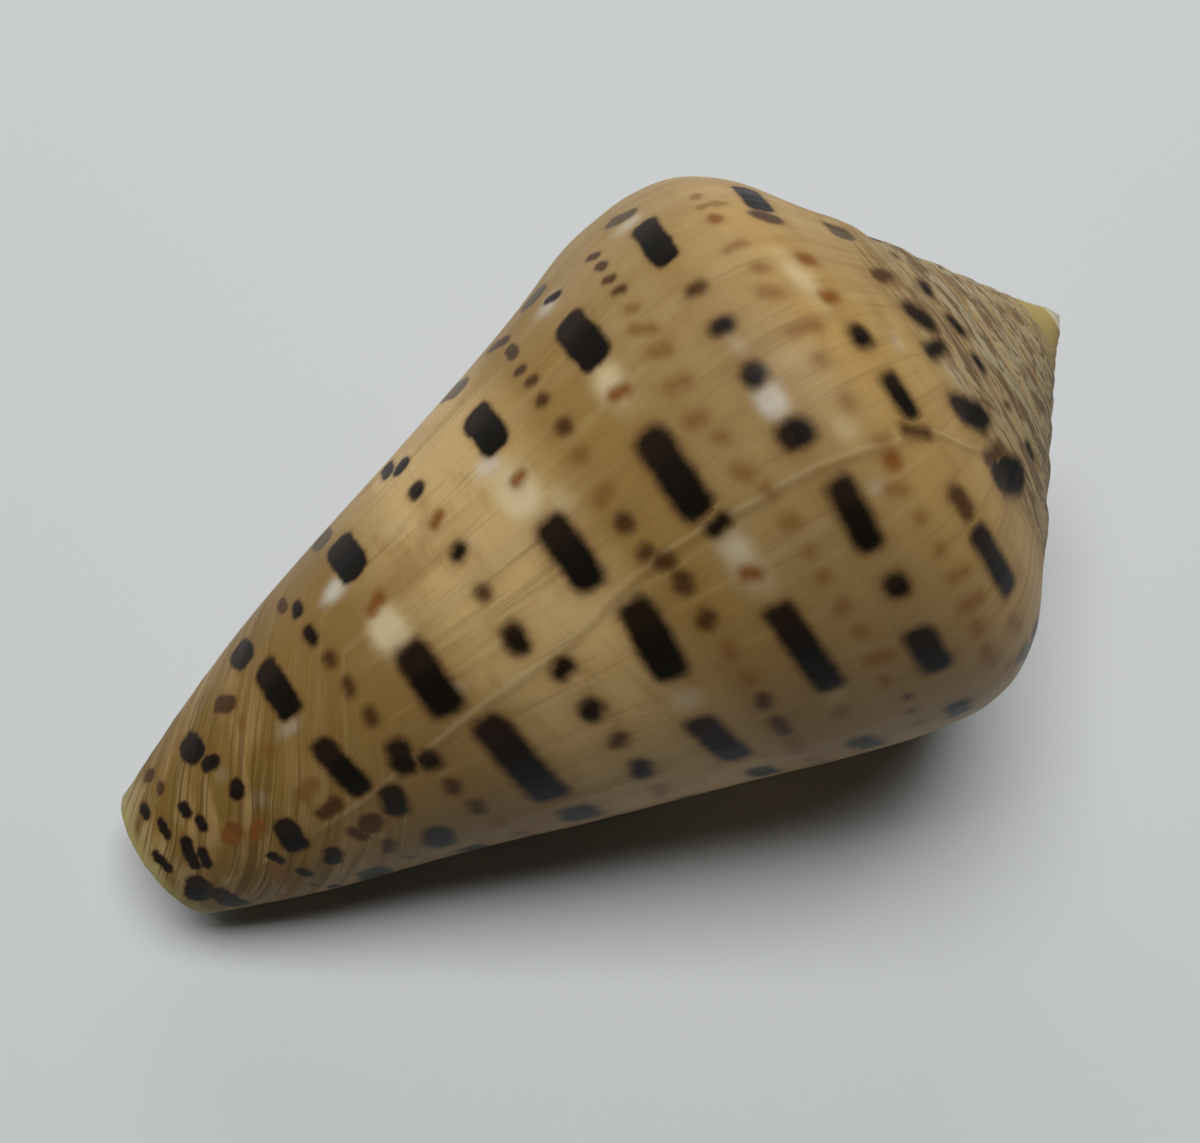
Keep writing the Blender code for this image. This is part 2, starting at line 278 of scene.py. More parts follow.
fine_backs = np.arange(0.0, FINE_END, FINE_DEGREES)
coarse_backs = np.linspace(FINE_END, 360.0, round((360.0 - FINE_END) / COARSE_DEGREES) + 1)
turn_backs = np.radians(np.concatenate((fine_backs, coarse_backs)))
STEPS = len(turn_backs) - 1


def back_at(step):
    """The angle back from the lip of any step of the grid, over all turns."""
    step = np.asarray(step, int)
    return turn_backs[step % STEPS] + FULL_TURN * (step // STEPS)


def side_run(row):
    """Runs down the side, closer together over the rounded shoulder."""
    share = row / SIDE_ROWS
    share = share - 0.055 * np.sin(FULL_TURN * share)
    return RAMP_JOIN_RUN + (CURVE_END - RAMP_JOIN_RUN) * share


def ramp_run(row):
    return SUTURE_RUN + (RAMP_JOIN_RUN - SUTURE_RUN) * row / RAMP_ROWS


def add_sheet(bm, steps, rows, place, coordinates):
    """A grid whose vertices are sent to the surface, with turns and run kept as its UV map."""
    made = bmesh.ops.create_grid(bm, x_segments=steps, y_segments=rows, size=1.0)
    cells = [(round((v.co.x + 1.0) * 0.5 * steps), round((v.co.y + 1.0) * 0.5 * rows)) for v in made["verts"]]
    cells = np.array(cells)
    points = place(cells[:, 0], cells[:, 1])
    marks = coordinates(cells[:, 0], cells[:, 1])
    growth = bm.loops.layers.uv.verify()
    known = {}
    for vertex, point, mark in zip(made["verts"], points, marks):
        vertex.co = point
        known[vertex] = mark
    for face in {face for vertex in made["verts"] for face in vertex.link_faces}:
        for loop in face.loops:
            loop[growth].uv = known[loop.vert]


def turns_and_run(back, run):
    return np.stack(np.broadcast_arrays(back / FULL_TURN, run), axis=-1)


print("steps round one turn:", STEPS)

# %% Close and weld the skin
PAINTED, INSIDE, EDGE = 0, 1, 2
CORE_TIP_DEPTH = 0.955
APEX_POINT_DEPTH = -0.0001
APEX_REACH = 0.004


def fan_to(bm, edges, centre):
    """Join each edge to one middle vertex with a triangle."""
    middle = bm.verts.new(centre)
    for edge in edges:
        face = bm.faces.new((edge.verts[0], edge.verts[1], middle))
        face.material_index = EDGE


def close_openings(bm, slot):
    """Fill every open rim with a face and cut it into triangles."""
    rims = [edge for edge in bm.edges if edge.is_boundary]
    filled = bmesh.ops.holes_fill(bm, edges=rims, sides=0)["faces"]
    for face in filled:
        face.material_index = slot
    wide = [face for face in filled if len(face.verts) > 4]
    bmesh.ops.triangulate(bm, faces=wide, quad_method="BEAUTY", ngon_method="BEAUTY")


def face_outward(bm):
    bmesh.ops.recalc_face_normals(bm, faces=bm.faces)
    if bm.calc_volume(signed=True) < 0.0:
        bmesh.ops.reverse_faces(bm, faces=bm.faces)


def drop_folded_slivers(bm):
    """Delete pairs of thin triangles that lie back to back on the same three vertices."""
    sharing = {}
    for face in bm.faces:
        sharing.setdefault(frozenset(face.verts), []).append(face)
    folded = [face for faces in sharing.values() if len(faces) > 1 for face in faces]
    bmesh.ops.delete(bm, geom=folded, context="FACES")


def to_object(bm, name, materials):
    face_outward(bm)
    mesh = bpy.data.meshes.new(name)
    bm.to_mesh(mesh)
    bm.free()
    for material in materials:
        mesh.materials.append(material)
    return add_object(name, mesh)


def build_skin(materials):
    bm = bmesh.new()
    add_sheet(bm, STEPS * SPIRE_TURNS, RAMP_ROWS,
              lambda step, row: skin(ramp_run(row), back_at(step)),
              lambda step, row: turns_and_run(back_at(step), ramp_run(row)))
    add_sheet(bm, STEPS, SIDE_ROWS,
              lambda step, row: skin(side_run(row), np.minimum(back_at(step), FULL_TURN)),
              lambda step, row: turns_and_run(np.minimum(back_at(step), FULL_TURN), side_run(row)))
    bmesh.ops.remove_doubles(bm, verts=bm.verts, dist=WELD)

    # The tip: a shallow dish from the front rim to the end of the core
    tip_radius = float(section_point(CURVE_END, 0.0)[0]) * 1.02
    rim = [edge for edge in bm.edges
           if edge.is_boundary and max(end.co.z for end in edge.verts) < -0.5 * SHELL_LENGTH]
    front = []
    for edge in rim:
        ends = [vertex.co for vertex in edge.verts]
        turned = abs(math.atan2(ends[0].y, ends[0].x) - math.atan2(ends[1].y, ends[1].x))
        if min(turned, FULL_TURN - turned) > 0.005 and max(end.xy.length for end in ends) < tip_radius:
            front.append(edge)
    fan_to(bm, front, Vector((0.0, 0.0, -CORE_TIP_DEPTH * SHELL_LENGTH)))

    # The apex: the last small turn of the ramp runs to a point
    crown = [edge for edge in bm.edges
             if edge.is_boundary and max(end.co.z for end in edge.verts) > -APEX_REACH]
    fan_to(bm, crown, Vector((0.0, 0.0, -APEX_POINT_DEPTH)))
    close_openings(bm, EDGE)
    print("skin faces:", len(bm.faces), "open edges:", sum(edge.is_boundary for edge in bm.edges))
    return to_object(bm, "shell_skin", materials)


# %% [markdown]
# ## The hollow and the slit
# The aperture of a cone shell is a narrow slit along its whole length, on the side it lies on here, and
# behind it the hollow winds inward with the coil. Solidify would give a wall, but not the thick core and
# the thin lip, so the hollow is built as its own winding body from the same law, set in by the wall, and
# taken away with an exact Boolean. The wall starts thin at the lip, as on the real shell.

# %% Walls of the hollow
LIP_EDGE_WALL = 0.0010
FULL_WALL = 0.0020
INNER_WALL = 0.0011
WALL_GROWTH_ANGLE = math.radians(50.0)
WALL_THINNING_ANGLE = math.radians(330.0)
CAVITY_BACK_ANGLE = math.radians(860.0)
CAVITY_FRONT_ANGLE = math.radians(-20.0)
CAVITY_STEPS = 220
CAVITY_ROWS = 20
CANAL_CLOSING_ANGLE = math.radians(200.0)
PARIETAL_SINK = 0.00012
PARIETAL_LIFT = 0.0006


def wall_at(back):
    """Thin at the lip edge, thick over the last turn, thin again between the turns inside."""
    grown = LIP_EDGE_WALL + (FULL_WALL - LIP_EDGE_WALL) * ease(back / WALL_GROWTH_ANGLE)
    return grown + (INNER_WALL - FULL_WALL) * ease((back - WALL_THINNING_ANGLE) / 0.8)


def inset_section(run, back, wall):
    """Radius and height a wall thickness inside the skin."""
    ahead = section_point(run + 0.002, back)
    behind = section_point(run - 0.002, back)
    along = (ahead[0] - behind[0], ahead[1] - behind[1])
    size = np.hypot(*along)
    radius, height = section_point(run, back)
    return radius + wall * along[1] / size, height - wall * along[0] / size


def corner_runs():
    """Runs on the core and under the ramp where the hollow starts, one wall below the ramp."""
    slope = (RAMP_RADIUS_PER_RUN, RAMP_DEPTH_PER_RUN)
    runs = np.arange(RAMP_JOIN_RUN, CURVE_END, 0.001)
    radius, height = section_point(runs, np.full_like(runs, FULL_TURN))
    below = (-height * slope[0] - radius * slope[1]) / math.hypot(*slope)
    first = int(np.argmax(below > FULL_WALL + 0.0004))
    along = (radius[first] * slope[0] - height[first] * slope[1]) / (SHELL_LENGTH * math.hypot(*slope))
    return float(runs[first]), float(along)


CORE_START, ROOF_START = corner_runs()
print("hollow starts at runs:", round(CORE_START, 4), round(ROOF_START, 4))


# %% The hollow as a body
def cavity_back(step):
    return CAVITY_FRONT_ANGLE + (CAVITY_BACK_ANGLE - CAVITY_FRONT_ANGLE) * step / CAVITY_STEPS


def cavity_place(step, column):
    """Half of the loop follows the inside of the outer wall, and the other half the core."""
    back = cavity_back(step)
    column = column % (2 * CAVITY_ROWS)
    reach = 0.90 + 0.14 * (1.0 - ease((back - CANAL_CLOSING_ANGLE) / 0.5 + 0.5))
    outer_side = column < CAVITY_ROWS
    share = np.where(outer_side, column, 2 * CAVITY_ROWS - column) / CAVITY_ROWS
    outer_run = ROOF_START + (CURVE_END - ROOF_START) * np.minimum(share * reach, 1.0)
    core_run = CORE_START + (CURVE_END - CORE_START) * np.minimum(share * reach, 1.0)
    outer = inset_section(outer_run, back, wall_at(back))
    corner = section_point(np.full_like(back, CORE_START), back + FULL_TURN)
    sink = PARIETAL_SINK - (PARIETAL_SINK + PARIETAL_LIFT) * ease(-back / 0.3)
    core = inset_section(core_run, back + FULL_TURN, sink)
    at_corner = outer_side & (column == 0)
    radius = np.where(at_corner, corner[0], np.where(outer_side, outer[0], core[0]))
    height = np.where(at_corner, corner[1], np.where(outer_side, outer[1], core[1]))
    height = height - np.maximum(share * reach - 1.0, 0.0) * SHELL_LENGTH
    return np.stack((radius * np.cos(back), radius * np.sin(back), height), axis=-1)


def cavity_coordinates(step, column):
    return turns_and_run(cavity_back(step), column / CAVITY_ROWS)


def build_cavity(materials):
    bm = bmesh.new()
    add_sheet(bm, CAVITY_STEPS, 2 * CAVITY_ROWS, cavity_place, cavity_coordinates)
    bmesh.ops.remove_doubles(bm, verts=bm.verts, dist=WELD)
    close_openings(bm, INSIDE)
    for face in bm.faces:
        face.material_index = INSIDE
    print("hollow faces:", len(bm.faces))
    return to_object(bm, "shell_hollow", materials)


# %% Take the hollow away and lay the shell down
SHARP_ANGLE = math.radians(40.0)

painted = bpy.data.materials.new("painted_porcelain")
inside = bpy.data.materials.new("inner_porcelain")
cut_edge = bpy.data.materials.new("lip_porcelain")
finishes = (painted, inside, cut_edge)

skin_object = build_skin(finishes)
cavity_object = build_cavity(finishes)
hollowing = skin_object.modifiers.new("hollow", "BOOLEAN")
hollowing.operation = "DIFFERENCE"
hollowing.solver = "EXACT"
hollowing.object = cavity_object
bpy.context.view_layer.update()
evaluated = skin_object.evaluated_get(bpy.context.evaluated_depsgraph_get())
shell_mesh = bpy.data.meshes.new_from_object(evaluated)
shell_mesh.name = "cone_shell"

bm = bmesh.new()
bm.from_mesh(shell_mesh)
bmesh.ops.remove_doubles(bm, verts=bm.verts, dist=2e-6)
bmesh.ops.dissolve_degenerate(bm, edges=bm.edges, dist=1e-7)
bmesh.ops.triangulate(bm, faces=[face for face in bm.faces if len(face.verts) > 4])
drop_folded_slivers(bm)
bmesh.ops.transform(bm, matrix=lying_place(), verts=bm.verts)
face_outward(bm)
for face in bm.faces:
    face.smooth = True
loose_edges = sum(not edge.is_manifold for edge in bm.edges)
print("open or crossed edges:", loose_edges, "volume, cm3:", round(1e6 * bm.calc_volume(), 2))
bm.to_mesh(shell_mesh)
bm.free()
shell_mesh.set_sharp_from_angle(angle=SHARP_ANGLE)
bpy.data.objects.remove(skin_object)
bpy.data.objects.remove(cavity_object)
shell = add_object("cone_shell", shell_mesh)
triangles = sum(len(face.vertices) - 2 for face in shell_mesh.polygons)
print("shell triangles:", triangles, "material slots:", len(shell_mesh.materials))

# %% [markdown]
# ## The marks
# The pattern of this kind of shell is laid down in rows that run round it at a fixed `run`: rows of large
# black-brown bars, and between them rows of small brown or orange dots. An image could hold them, but it
# would blur close up. Here each mark is a short rounded stroke on the skin, given by its two ends in
# degrees back from the lip and millimetres of run, and by its half width. Every face of the mesh then
# remembers the stroke nearest to it, and the material draws that stroke exactly, at any distance.

# %% Rows of marks on the side that shows
# kind, degrees and run of the first end, degrees and run of the second end, half width; lengths in mm
MARK_ROWS = {
    "S0": (
        ("grey", 26.7, 22.8, 28.8, 22.8, 1.15), ("brown", 46.9, 22, 48.2, 22.8, 0.82),
        ("dot", 59.8, 22, 63.4, 21.3, 1.01), ("dot", 70.8, 21.7, 71.7, 23.4, 0.74),
        ("bar", 86.1, 24.3, 91.1, 22.5, 1.23), ("brown", 99.8, 24.8, 101.5, 22.7, 0.78),
        ("bar", 105, 24.3, 110.8, 22.2, 1.54), ("grey", 143.5, 33.2, 151, 32, 1.06),
    ),
    "S1": (
        ("bar", 18.4, 29.8, 27.5, 30.1, 1.15), ("brown", 31.7, 30.8, 33.2, 30, 0.92),
        ("orange", 46.4, 30.3, 46.5, 29.9, 0.67), ("orange", 55.8, 30.3, 56, 30.8, 0.64),
        ("bar", 64.7, 30.4, 65.2, 30.4, 1.01), ("bar", 74.8, 30.5, 80, 30.5, 0.99),
        ("brown", 83, 31.9, 85.5, 30.3, 0.57), ("brown", 97.7, 31.1, 101.2, 31, 0.92),
        ("bar", 107.4, 31.2, 120.4, 31.1, 1.16), ("faint", 128.7, 32.6, 134, 32.2, 0.62),
    ),
    "S2": (
        ("faint", 21.7, 34.3, 22.6, 34.6, 0.41), ("faint", 26.2, 33.5, 26.9, 34.8, 0.34),
        ("faint", 26.9, 33, 27.4, 33.7, 0.33), ("orange", 31.6, 34.6, 32, 34.6, 0.60),
        ("faint", 40.2, 34.2, 40.7, 35.4, 0.45), ("faint", 46.3, 34.4, 46.9, 34.3, 0.53),
        ("faint", 51.6, 35.1, 52.6, 34.5, 0.62), ("faint", 60, 35.2, 60.7, 33.4, 0.45),
        ("faint", 66.2, 34.8, 66.2, 34.8, 0.59), ("faint", 73.8, 34.8, 74.4, 34.8, 0.62),
        ("faint", 82.1, 34.4, 82.3, 33.9, 0.44), ("orange", 85.7, 34.4, 85.9, 34.4, 0.73),
        ("faint", 89.5, 35.8, 90.6, 35, 0.43), ("faint", 96, 35, 96.4, 35, 0.43),
        ("faint", 102.6, 35, 103.2, 35.1, 0.43), ("faint", 108.6, 35.3, 109.5, 34.2, 0.43),
        ("faint", 115.2, 35.7, 116, 34.3, 0.62), ("faint", 120.5, 35.7, 121.8, 35.7, 0.62),
        ("faint", 127.7, 36.1, 133.2, 36.1, 0.62),
    ),
    "A": (
        ("grey", 13, 40.8, 15.7, 39.5, 0.81), ("bar", 24.6, 39.3, 34.3, 39.5, 1.16),
        ("brown", 44.6, 39.4, 44.7, 38.9, 0.70), ("dot", 53.2, 39.5, 53.4, 39, 0.79),
        ("dot", 63.1, 39.4, 63.1, 39.4, 1.02), ("bar", 74.3, 39.7, 74.5, 39.1, 1.12),
        ("bar", 85.9, 38.9, 94, 39.3, 1.20), ("dot", 103.9, 39.4, 103.9, 39.4, 1.07),
        ("bar", 116.1, 40.1, 122.3, 40.1, 1.39), ("dot", 141.1, 40.5, 144.6, 40.6, 1.15),
    ),
    "A2": (
        ("brown", 18.5, 44.1, 19.8, 43.6, 0.43), ("brown", 23.6, 44, 24.9, 43.7, 0.44),
        ("brown", 28.9, 44.2, 29.7, 43.8, 0.42), ("brown", 33.2, 44.1, 34, 43.6, 0.42),
        ("faint", 39, 44.1, 39.7, 43.7, 0.44), ("faint", 43.1, 44.8, 45.7, 43.5, 0.44),
        ("faint", 49.3, 44.6, 50.5, 43.6, 0.62), ("faint", 56.3, 45, 57, 43.8, 0.51),
        ("faint", 63.4, 45.2, 63.7, 44.4, 0.62), ("faint", 68.1, 44.3, 68.5, 43.9, 0.46),
        ("faint", 74.4, 44.4, 75.5, 44, 0.62), ("faint", 79.1, 43.5, 79.8, 43.4, 0.50),
        ("faint", 85.6, 43.7, 85.7, 43.2, 0.55), ("faint", 91.3, 43.5, 91.5, 43.5, 0.43),
        ("faint", 96.3, 43.7, 96.3, 43.7, 0.62), ("faint", 102.4, 43.7, 103.1, 44, 0.62),
        ("faint", 108.5, 43.8, 108.7, 43.8, 0.62), ("faint", 115.3, 44.4, 116.1, 43.2, 0.62),
        ("faint", 121.1, 44.3, 122.2, 44.5, 0.43),
    ),
    "B": (
        ("grey", 8.2, 50.1, 9.6, 49.2, 1.07), ("dot", 17.3, 48.8, 18.9, 48, 0.57),
        ("bar", 31.5, 48.6, 40.1, 48.4, 1.56), ("orange", 50.7, 48.9, 51.1, 48, 0.64),
        ("bar", 63.1, 48.6, 74.2, 48.7, 1.55), ("dot", 79.7, 47.6, 80.2, 48.6, 0.71),
        ("orange", 89.6, 48.6, 90.2, 47.9, 0.61), ("bar", 100, 48.2, 115.6, 48.4, 1.37),
        ("faint", 125.4, 48.9, 126.3, 49.3, 0.62), ("dot", 141, 49.6, 146, 49.1, 1.20),
    ),
    "D": (
        ("brown", 8.5, 54.9, 13.6, 53.6, 0.60), ("brown", 19.2, 53.7, 22.3, 53.7, 0.61),
        ("brown", 28.5, 54.2, 28.9, 53.9, 0.51), ("brown", 33.7, 53.9, 34.2, 53.5, 0.49),
        ("brown", 39.8, 53.9, 40.3, 53.8, 0.56), ("brown", 48.2, 53.6, 48.4, 53.6, 0.75),
        ("faint", 55.2, 54, 55.5, 53.7, 0.62), ("faint", 63.9, 53.9, 64.7, 54.6, 0.62),
        ("brown", 70.6, 54.1, 70.7, 54.1, 0.82), ("brown", 77.4, 54, 77.6, 54.4, 0.62),
        ("brown", 80.1, 53.5, 80.8, 53.1, 0.74), ("brown", 85, 53, 86, 53.2, 0.86),
        ("brown", 93.3, 53.1, 93.9, 53.6, 0.70), ("faint", 100.6, 53.3, 101.6, 53.5, 0.62),
        ("faint", 107.7, 53.5, 109.1, 53.6, 0.57), ("brown", 114.3, 53.7, 115.8, 54, 0.66),
        ("brown", 121.9, 54.1, 126.4, 54.2, 0.67), ("faint", 129.5, 54.4, 136.5, 54.7, 0.61),
    ),
    "C": (
        ("grey", 4.2, 60.1, 10.1, 59.1, 1.15), ("bar", 29.2, 59.2, 37.4, 59, 1.48),
        ("orange", 49.8, 58.7, 50, 59.4, 0.49), ("bar", 64.8, 59.1, 73.8, 59.2, 1.56),
        ("bar", 87.6, 57.6, 97.9, 58.4, 1.63), ("bar", 117, 59.5, 128, 59.3, 1.47),
    ),
    "E": (
        ("dot", 7.1, 68.2, 13.4, 68.3, 0.75), ("dot", 16.8, 67, 17.1, 67, 0.98),
        ("dot", 30.9, 66.8, 31.4, 66.8, 0.87), ("orange", 42.8, 66.3, 43.5, 67, 0.53),
        ("dot", 53.6, 66.4, 54.2, 66.8, 0.70), ("brown", 65.1, 66.8, 65.2, 66.8, 0.75),
        ("dot", 76.9, 66.9, 78.9, 67.1, 1.01), ("dot", 88.5, 65.1, 89.3, 65.9, 0.78),
        ("dot", 100.2, 65.7, 101.2, 66.1, 0.93), ("brown", 110.6, 65.7, 111.8, 66.2, 0.70),
        ("dot", 121.6, 66.2, 125, 66.7, 0.87), ("faint", 134.6, 66.9, 140.6, 67.6, 0.57),
    ),
    "F": (
        ("grey", 6.4, 76.6, 11.2, 76.3, 1.15), ("bar", 24.3, 75.1, 33.7, 74.8, 1.51),
        ("orange", 49, 74.3, 49.8, 75.2, 0.65), ("bar", 69, 74.6, 80.4, 74.8, 1.62),
        ("bar", 95.2, 73.2, 119, 73.8, 1.60),
    ),
    "G": (
        ("brown", 19.5, 82.2, 23.6, 82.1, 0.53), ("dot", 28.3, 80.9, 30.9, 81, 0.62),
        ("dot", 40.1, 80.9, 43.9, 80.9, 0.60), ("brown", 52.4, 80.5, 53.7, 80.5, 0.62),
        ("brown", 62.1, 80.3, 64.7, 80.5, 0.52), ("brown", 72.9, 80.3, 75.5, 80.5, 0.57),
        ("dot", 86.9, 80.3, 91.4, 80.8, 1.02), ("dot", 93.4, 79, 94, 79, 0.96),
        ("brown", 103.7, 79, 105.8, 79.3, 0.63), ("brown", 114.4, 78.9, 117.6, 79.2, 0.61),
        ("faint", 125.7, 79, 129.6, 79.3, 0.55),
    ),
    "H": (
        ("dot", 19.7, 87.8, 25.4, 87.4, 1.20), ("bar", 40.8, 85.9, 54.8, 85.7, 1.28),
        ("bar", 75.5, 85.2, 90, 85, 1.15), ("dot", 99, 83.3, 104.3, 84, 1.00),
        ("dot", 123.1, 83.4, 129.6, 84.1, 1.10),
    ),
    "I": (
        ("brown", 33.2, 91.4, 38, 90.4, 0.79), ("faint", 47.4, 90.1, 48.9, 90.2, 0.37),
        ("faint", 64, 89.2, 64.9, 89.2, 0.46), ("faint", 82.4, 87.9, 83.8, 89.2, 0.62),
        ("brown", 92.7, 87.5, 94.2, 88.9, 0.66), ("brown", 105.2, 86.3, 107, 86.9, 0.92),
        ("brown", 106.5, 88.2, 110.1, 88, 0.59), ("brown", 118.6, 87, 123.4, 87.6, 0.49),
    ),
    "J": (
        ("dot", 35.8, 96, 40.4, 95.6, 1.20), ("dot", 51.1, 95, 51.8, 94.3, 0.70),
        ("dot", 67.2, 93.6, 68.9, 93.9, 0.72), ("bar", 93.6, 92.4, 99.9, 92.8, 1.09),
        ("dot", 112.9, 91, 116.8, 91.6, 0.72), ("dot", 139.3, 90.7, 147.3, 91.4, 1.20),
    ),
    "K": (
        ("brown", 22.4, 101.7, 25.5, 101.3, 0.65), ("brown", 38.5, 100.6, 41.1, 100.6, 0.52),
        ("dot", 58.5, 99.2, 62, 99.2, 0.61), ("dot", 69.4, 98.5, 72.2, 98.5, 0.57),
        ("orange", 82.2, 96.3, 84.1, 97, 0.80), ("orange", 85.7, 94, 89, 95, 0.50),
    ),
    "L": (
        ("dot", 39.5, 103.3, 44.1, 103.2, 0.56), ("dot", 56.3, 102.1, 63.5, 102.2, 0.50),
        ("dot", 74.8, 101, 87.4, 101.7, 0.63), ("dot", 83.7, 100.2, 91.3, 100.7, 0.52),
        ("faint", 107.4, 96, 121.1, 96.4, 0.62),
    ),
    "N": (
        ("dot", 70.5, 104.5, 81.4, 104.2, 0.52), ("dot", 101.4, 103, 108.8, 104, 1.09),
        ("dot", 116.2, 102.3, 131.6, 102.4, 1.06),
    ),
}

# kind: colour, strength, strength of the warm rim
MARK_KINDS = {
    "bar": ((0.0085, 0.0060, 0.0035), 1.0, 0.75),
    "dot": ((0.014, 0.008, 0.004), 1.0, 0.75),
    "brown": ((0.070, 0.028, 0.008), 0.92, 0.6),
    "orange": ((0.225, 0.078, 0.013), 0.92, 0.55),
    "faint": ((0.215, 0.088, 0.018), 0.62, 0.45),
    "grey": ((0.060, 0.048, 0.036), 0.80, 0.3),
}
print("marks on the side that shows:", sum(len(row) for row in MARK_ROWS.values()))

# %% [markdown]
# ## The marks on the hidden side
# The picture shows a little under half of the last turn. The rows simply go on round the rest, with the
# same spacing, sizes and mixture as on the side that shows, and the top row also goes a third of a turn
# further, onto the spire. The marks are drawn from a seeded list of random numbers, so the shell looks
# grown from every side and comes out the same each time.

# %% Rows carried round the hidden side
# row: run, degrees from one mark to the next, half width, likely kinds
ROW_HABITS = {
    "S0": (23.0, 15.0, 0.71, ("dot", "bar", "dot", "brown")),
    "S1": (30.6, 13.0, 0.94, ("bar", "bar", "brown", "dot")),
    "S2": (34.9, 6.6, 0.43, ("faint", "faint", "orange")),
    "A": (39.8, 14.5, 1.35, ("bar", "bar", "dot")),
    "A2": (43.9, 6.4, 0.47, ("faint", "faint", "brown")),
    "B": (48.7, 15.0, 1.42, ("bar", "dot", "bar", "orange")),
    "D": (53.9, 7.2, 0.60, ("brown", "faint", "brown")),
    "C": (59.0, 15.0, 1.49, ("bar", "bar", "orange")),
    "E": (66.6, 11.5, 0.88, ("dot", "brown", "dot")),
    "F": (73.6, 16.5, 1.42, ("bar", "bar", "dot")),
    "G": (78.9, 10.5, 0.64, ("brown", "dot", "brown")),
    "H": (83.3, 16.0, 1.14, ("bar", "dot", "bar")),
    "I": (87.0, 10.0, 0.50, ("brown", "faint")),
    "J": (90.9, 17.0, 0.92, ("dot", "bar", "dot")),
    "K": (94.8, 13.0, 0.57, ("brown", "dot")),
    "L": (98.6, 14.0, 0.60, ("dot", "faint")),
    "N": (102.0, 20.0, 0.60, ("dot", "brown")),
}
SPIRE_ROW = "S0"
SPIRE_ROW_END = 480.0
ROW_END = 357.0
SEED = 41


def carry_row_on(name, chance):
    """Marks that continue a row from its last seen mark to the end of the turn."""
    run, step, half_width, kinds = ROW_HABITS[name]
    seen = MARK_ROWS[name]
    angle = max(mark[3] for mark in seen) + step
    last = SPIRE_ROW_END if name == SPIRE_ROW else ROW_END
    made = []
    while angle < last:
        kind = chance.choice(kinds)
        shortest, longest = (0.08, 0.32) if kind in ("bar", "dot") else (0.02, 0.16)
        length = chance.uniform(shortest, longest) * step
        wide = half_width * chance.uniform(0.8, 1.15) * (0.6 if kind in ("brown", "orange") else 1.0)
        drift = chance.uniform(-0.35, 0.35)
        slant = chance.uniform(-0.3, 0.3)
        made.append((kind, angle, run + drift, angle + length, run + drift + slant, wide))
        angle += length + step * chance.uniform(0.75, 1.15)
    return made


chance = random.Random(SEED)
all_marks = []
for row_name, row in MARK_ROWS.items():
    all_marks += list(row) + carry_row_on(row_name, chance)
print("marks in all:", len(all_marks))

# %% [markdown]
# ## Telling every face about its mark
# A material can read values stored on the mesh. For each painted face the distance to every stroke is
# worked out, with the shell's own radius at the stroke as the scale, and the nearest one is kept: where it
# starts, where it goes, how wide it is and what colour. The stroke is then drawn in the material, so a
# coarse mesh doesn't make it jagged. The same is done for the corner points with values that change
# slowly, such as the distance to the old scar.

# %% Places of all corners and faces on the growth law
corner_count = len(shell_mesh.loops)
growth_map = shell_mesh.uv_layers[0]
growth_map.name = "growth"
corner_uv = np.empty(corner_count * 2)
growth_map.data.foreach_get("uv", corner_uv)
corner_uv = corner_uv.reshape(-1, 2)
corner_backs = corner_uv[:, 0] * FULL_TURN
corner_runs_mm = corner_uv[:, 1] * SHELL_LENGTH / MM

face_count = len(shell_mesh.polygons)
face_starts, face_sizes, face_slots = (np.empty(face_count, int) for _ in range(3))
shell_mesh.polygons.foreach_get("loop_start", face_starts)
shell_mesh.polygons.foreach_get("loop_total", face_sizes)
shell_mesh.polygons.foreach_get("material_index", face_slots)
face_backs = np.add.reduceat(corner_backs, face_starts) / face_sizes
face_runs_mm = np.add.reduceat(corner_runs_mm, face_starts) / face_sizes
print("painted faces:", int(np.sum(face_slots == PAINTED)))


# %% Nearest mark of every face
def radius_mm_at(run_mm, back):
    """Radius of the skin, in millimetres, where a mark lies."""
    return float(section_point(run_mm * MM / SHELL_LENGTH, back)[0]) / MM


SOFT_EDGE = 0.22
BROAD_SOFT_EDGE = 0.40


def edge_softness(degrees, run_mm):
    """Marks on the broad back have softer edges, as in the picture."""
    on_back = float(ease((degrees - 15.0) / 45.0) * ease((96.0 - run_mm) / 22.0))
    return SOFT_EDGE + BROAD_SOFT_EDGE * on_back


def lay_out_marks(marks):
    """One row of numbers for each mark, in the order in which they are stored on the faces."""
    rows = []
    for kind, degrees, run_mm, end_degrees, end_run_mm, half_width in marks:
        back = math.radians(degrees)
        radius = radius_mm_at(0.5 * (run_mm + end_run_mm), back)
        colour, strength, warm = MARK_KINDS[kind]
        reach = max(abs(math.radians(end_degrees) - back) * radius, 0.02)
        rows.append((back, run_mm, radius, reach, end_run_mm - run_mm, half_width, *colour, strength, warm,
                     edge_softness(degrees, run_mm)))
    return np.array(rows)


mark_table = lay_out_marks(all_marks)
nearest = np.zeros(face_count, int)
best = np.full(face_count, 1e9)
for number, mark in enumerate(mark_table):
    across = (face_backs - mark[0]) * mark[2]
    along = face_runs_mm - mark[1]
    share = np.clip((across * mark[3] + along * mark[4]) / (mark[3] ** 2 + mark[4] ** 2), 0.0, 1.0)
    distance = np.hypot(across - mark[3] * share, along - mark[4] * share) - mark[5]
    closer = distance < best
    nearest[closer] = number
    best[closer] = distance[closer]


def keep_on_faces(name, values):
    layer = shell_mesh.attributes.new(name, "FLOAT_VECTOR", "FACE")
    layer.data.foreach_set("vector", np.ascontiguousarray(values, np.float32).ravel())


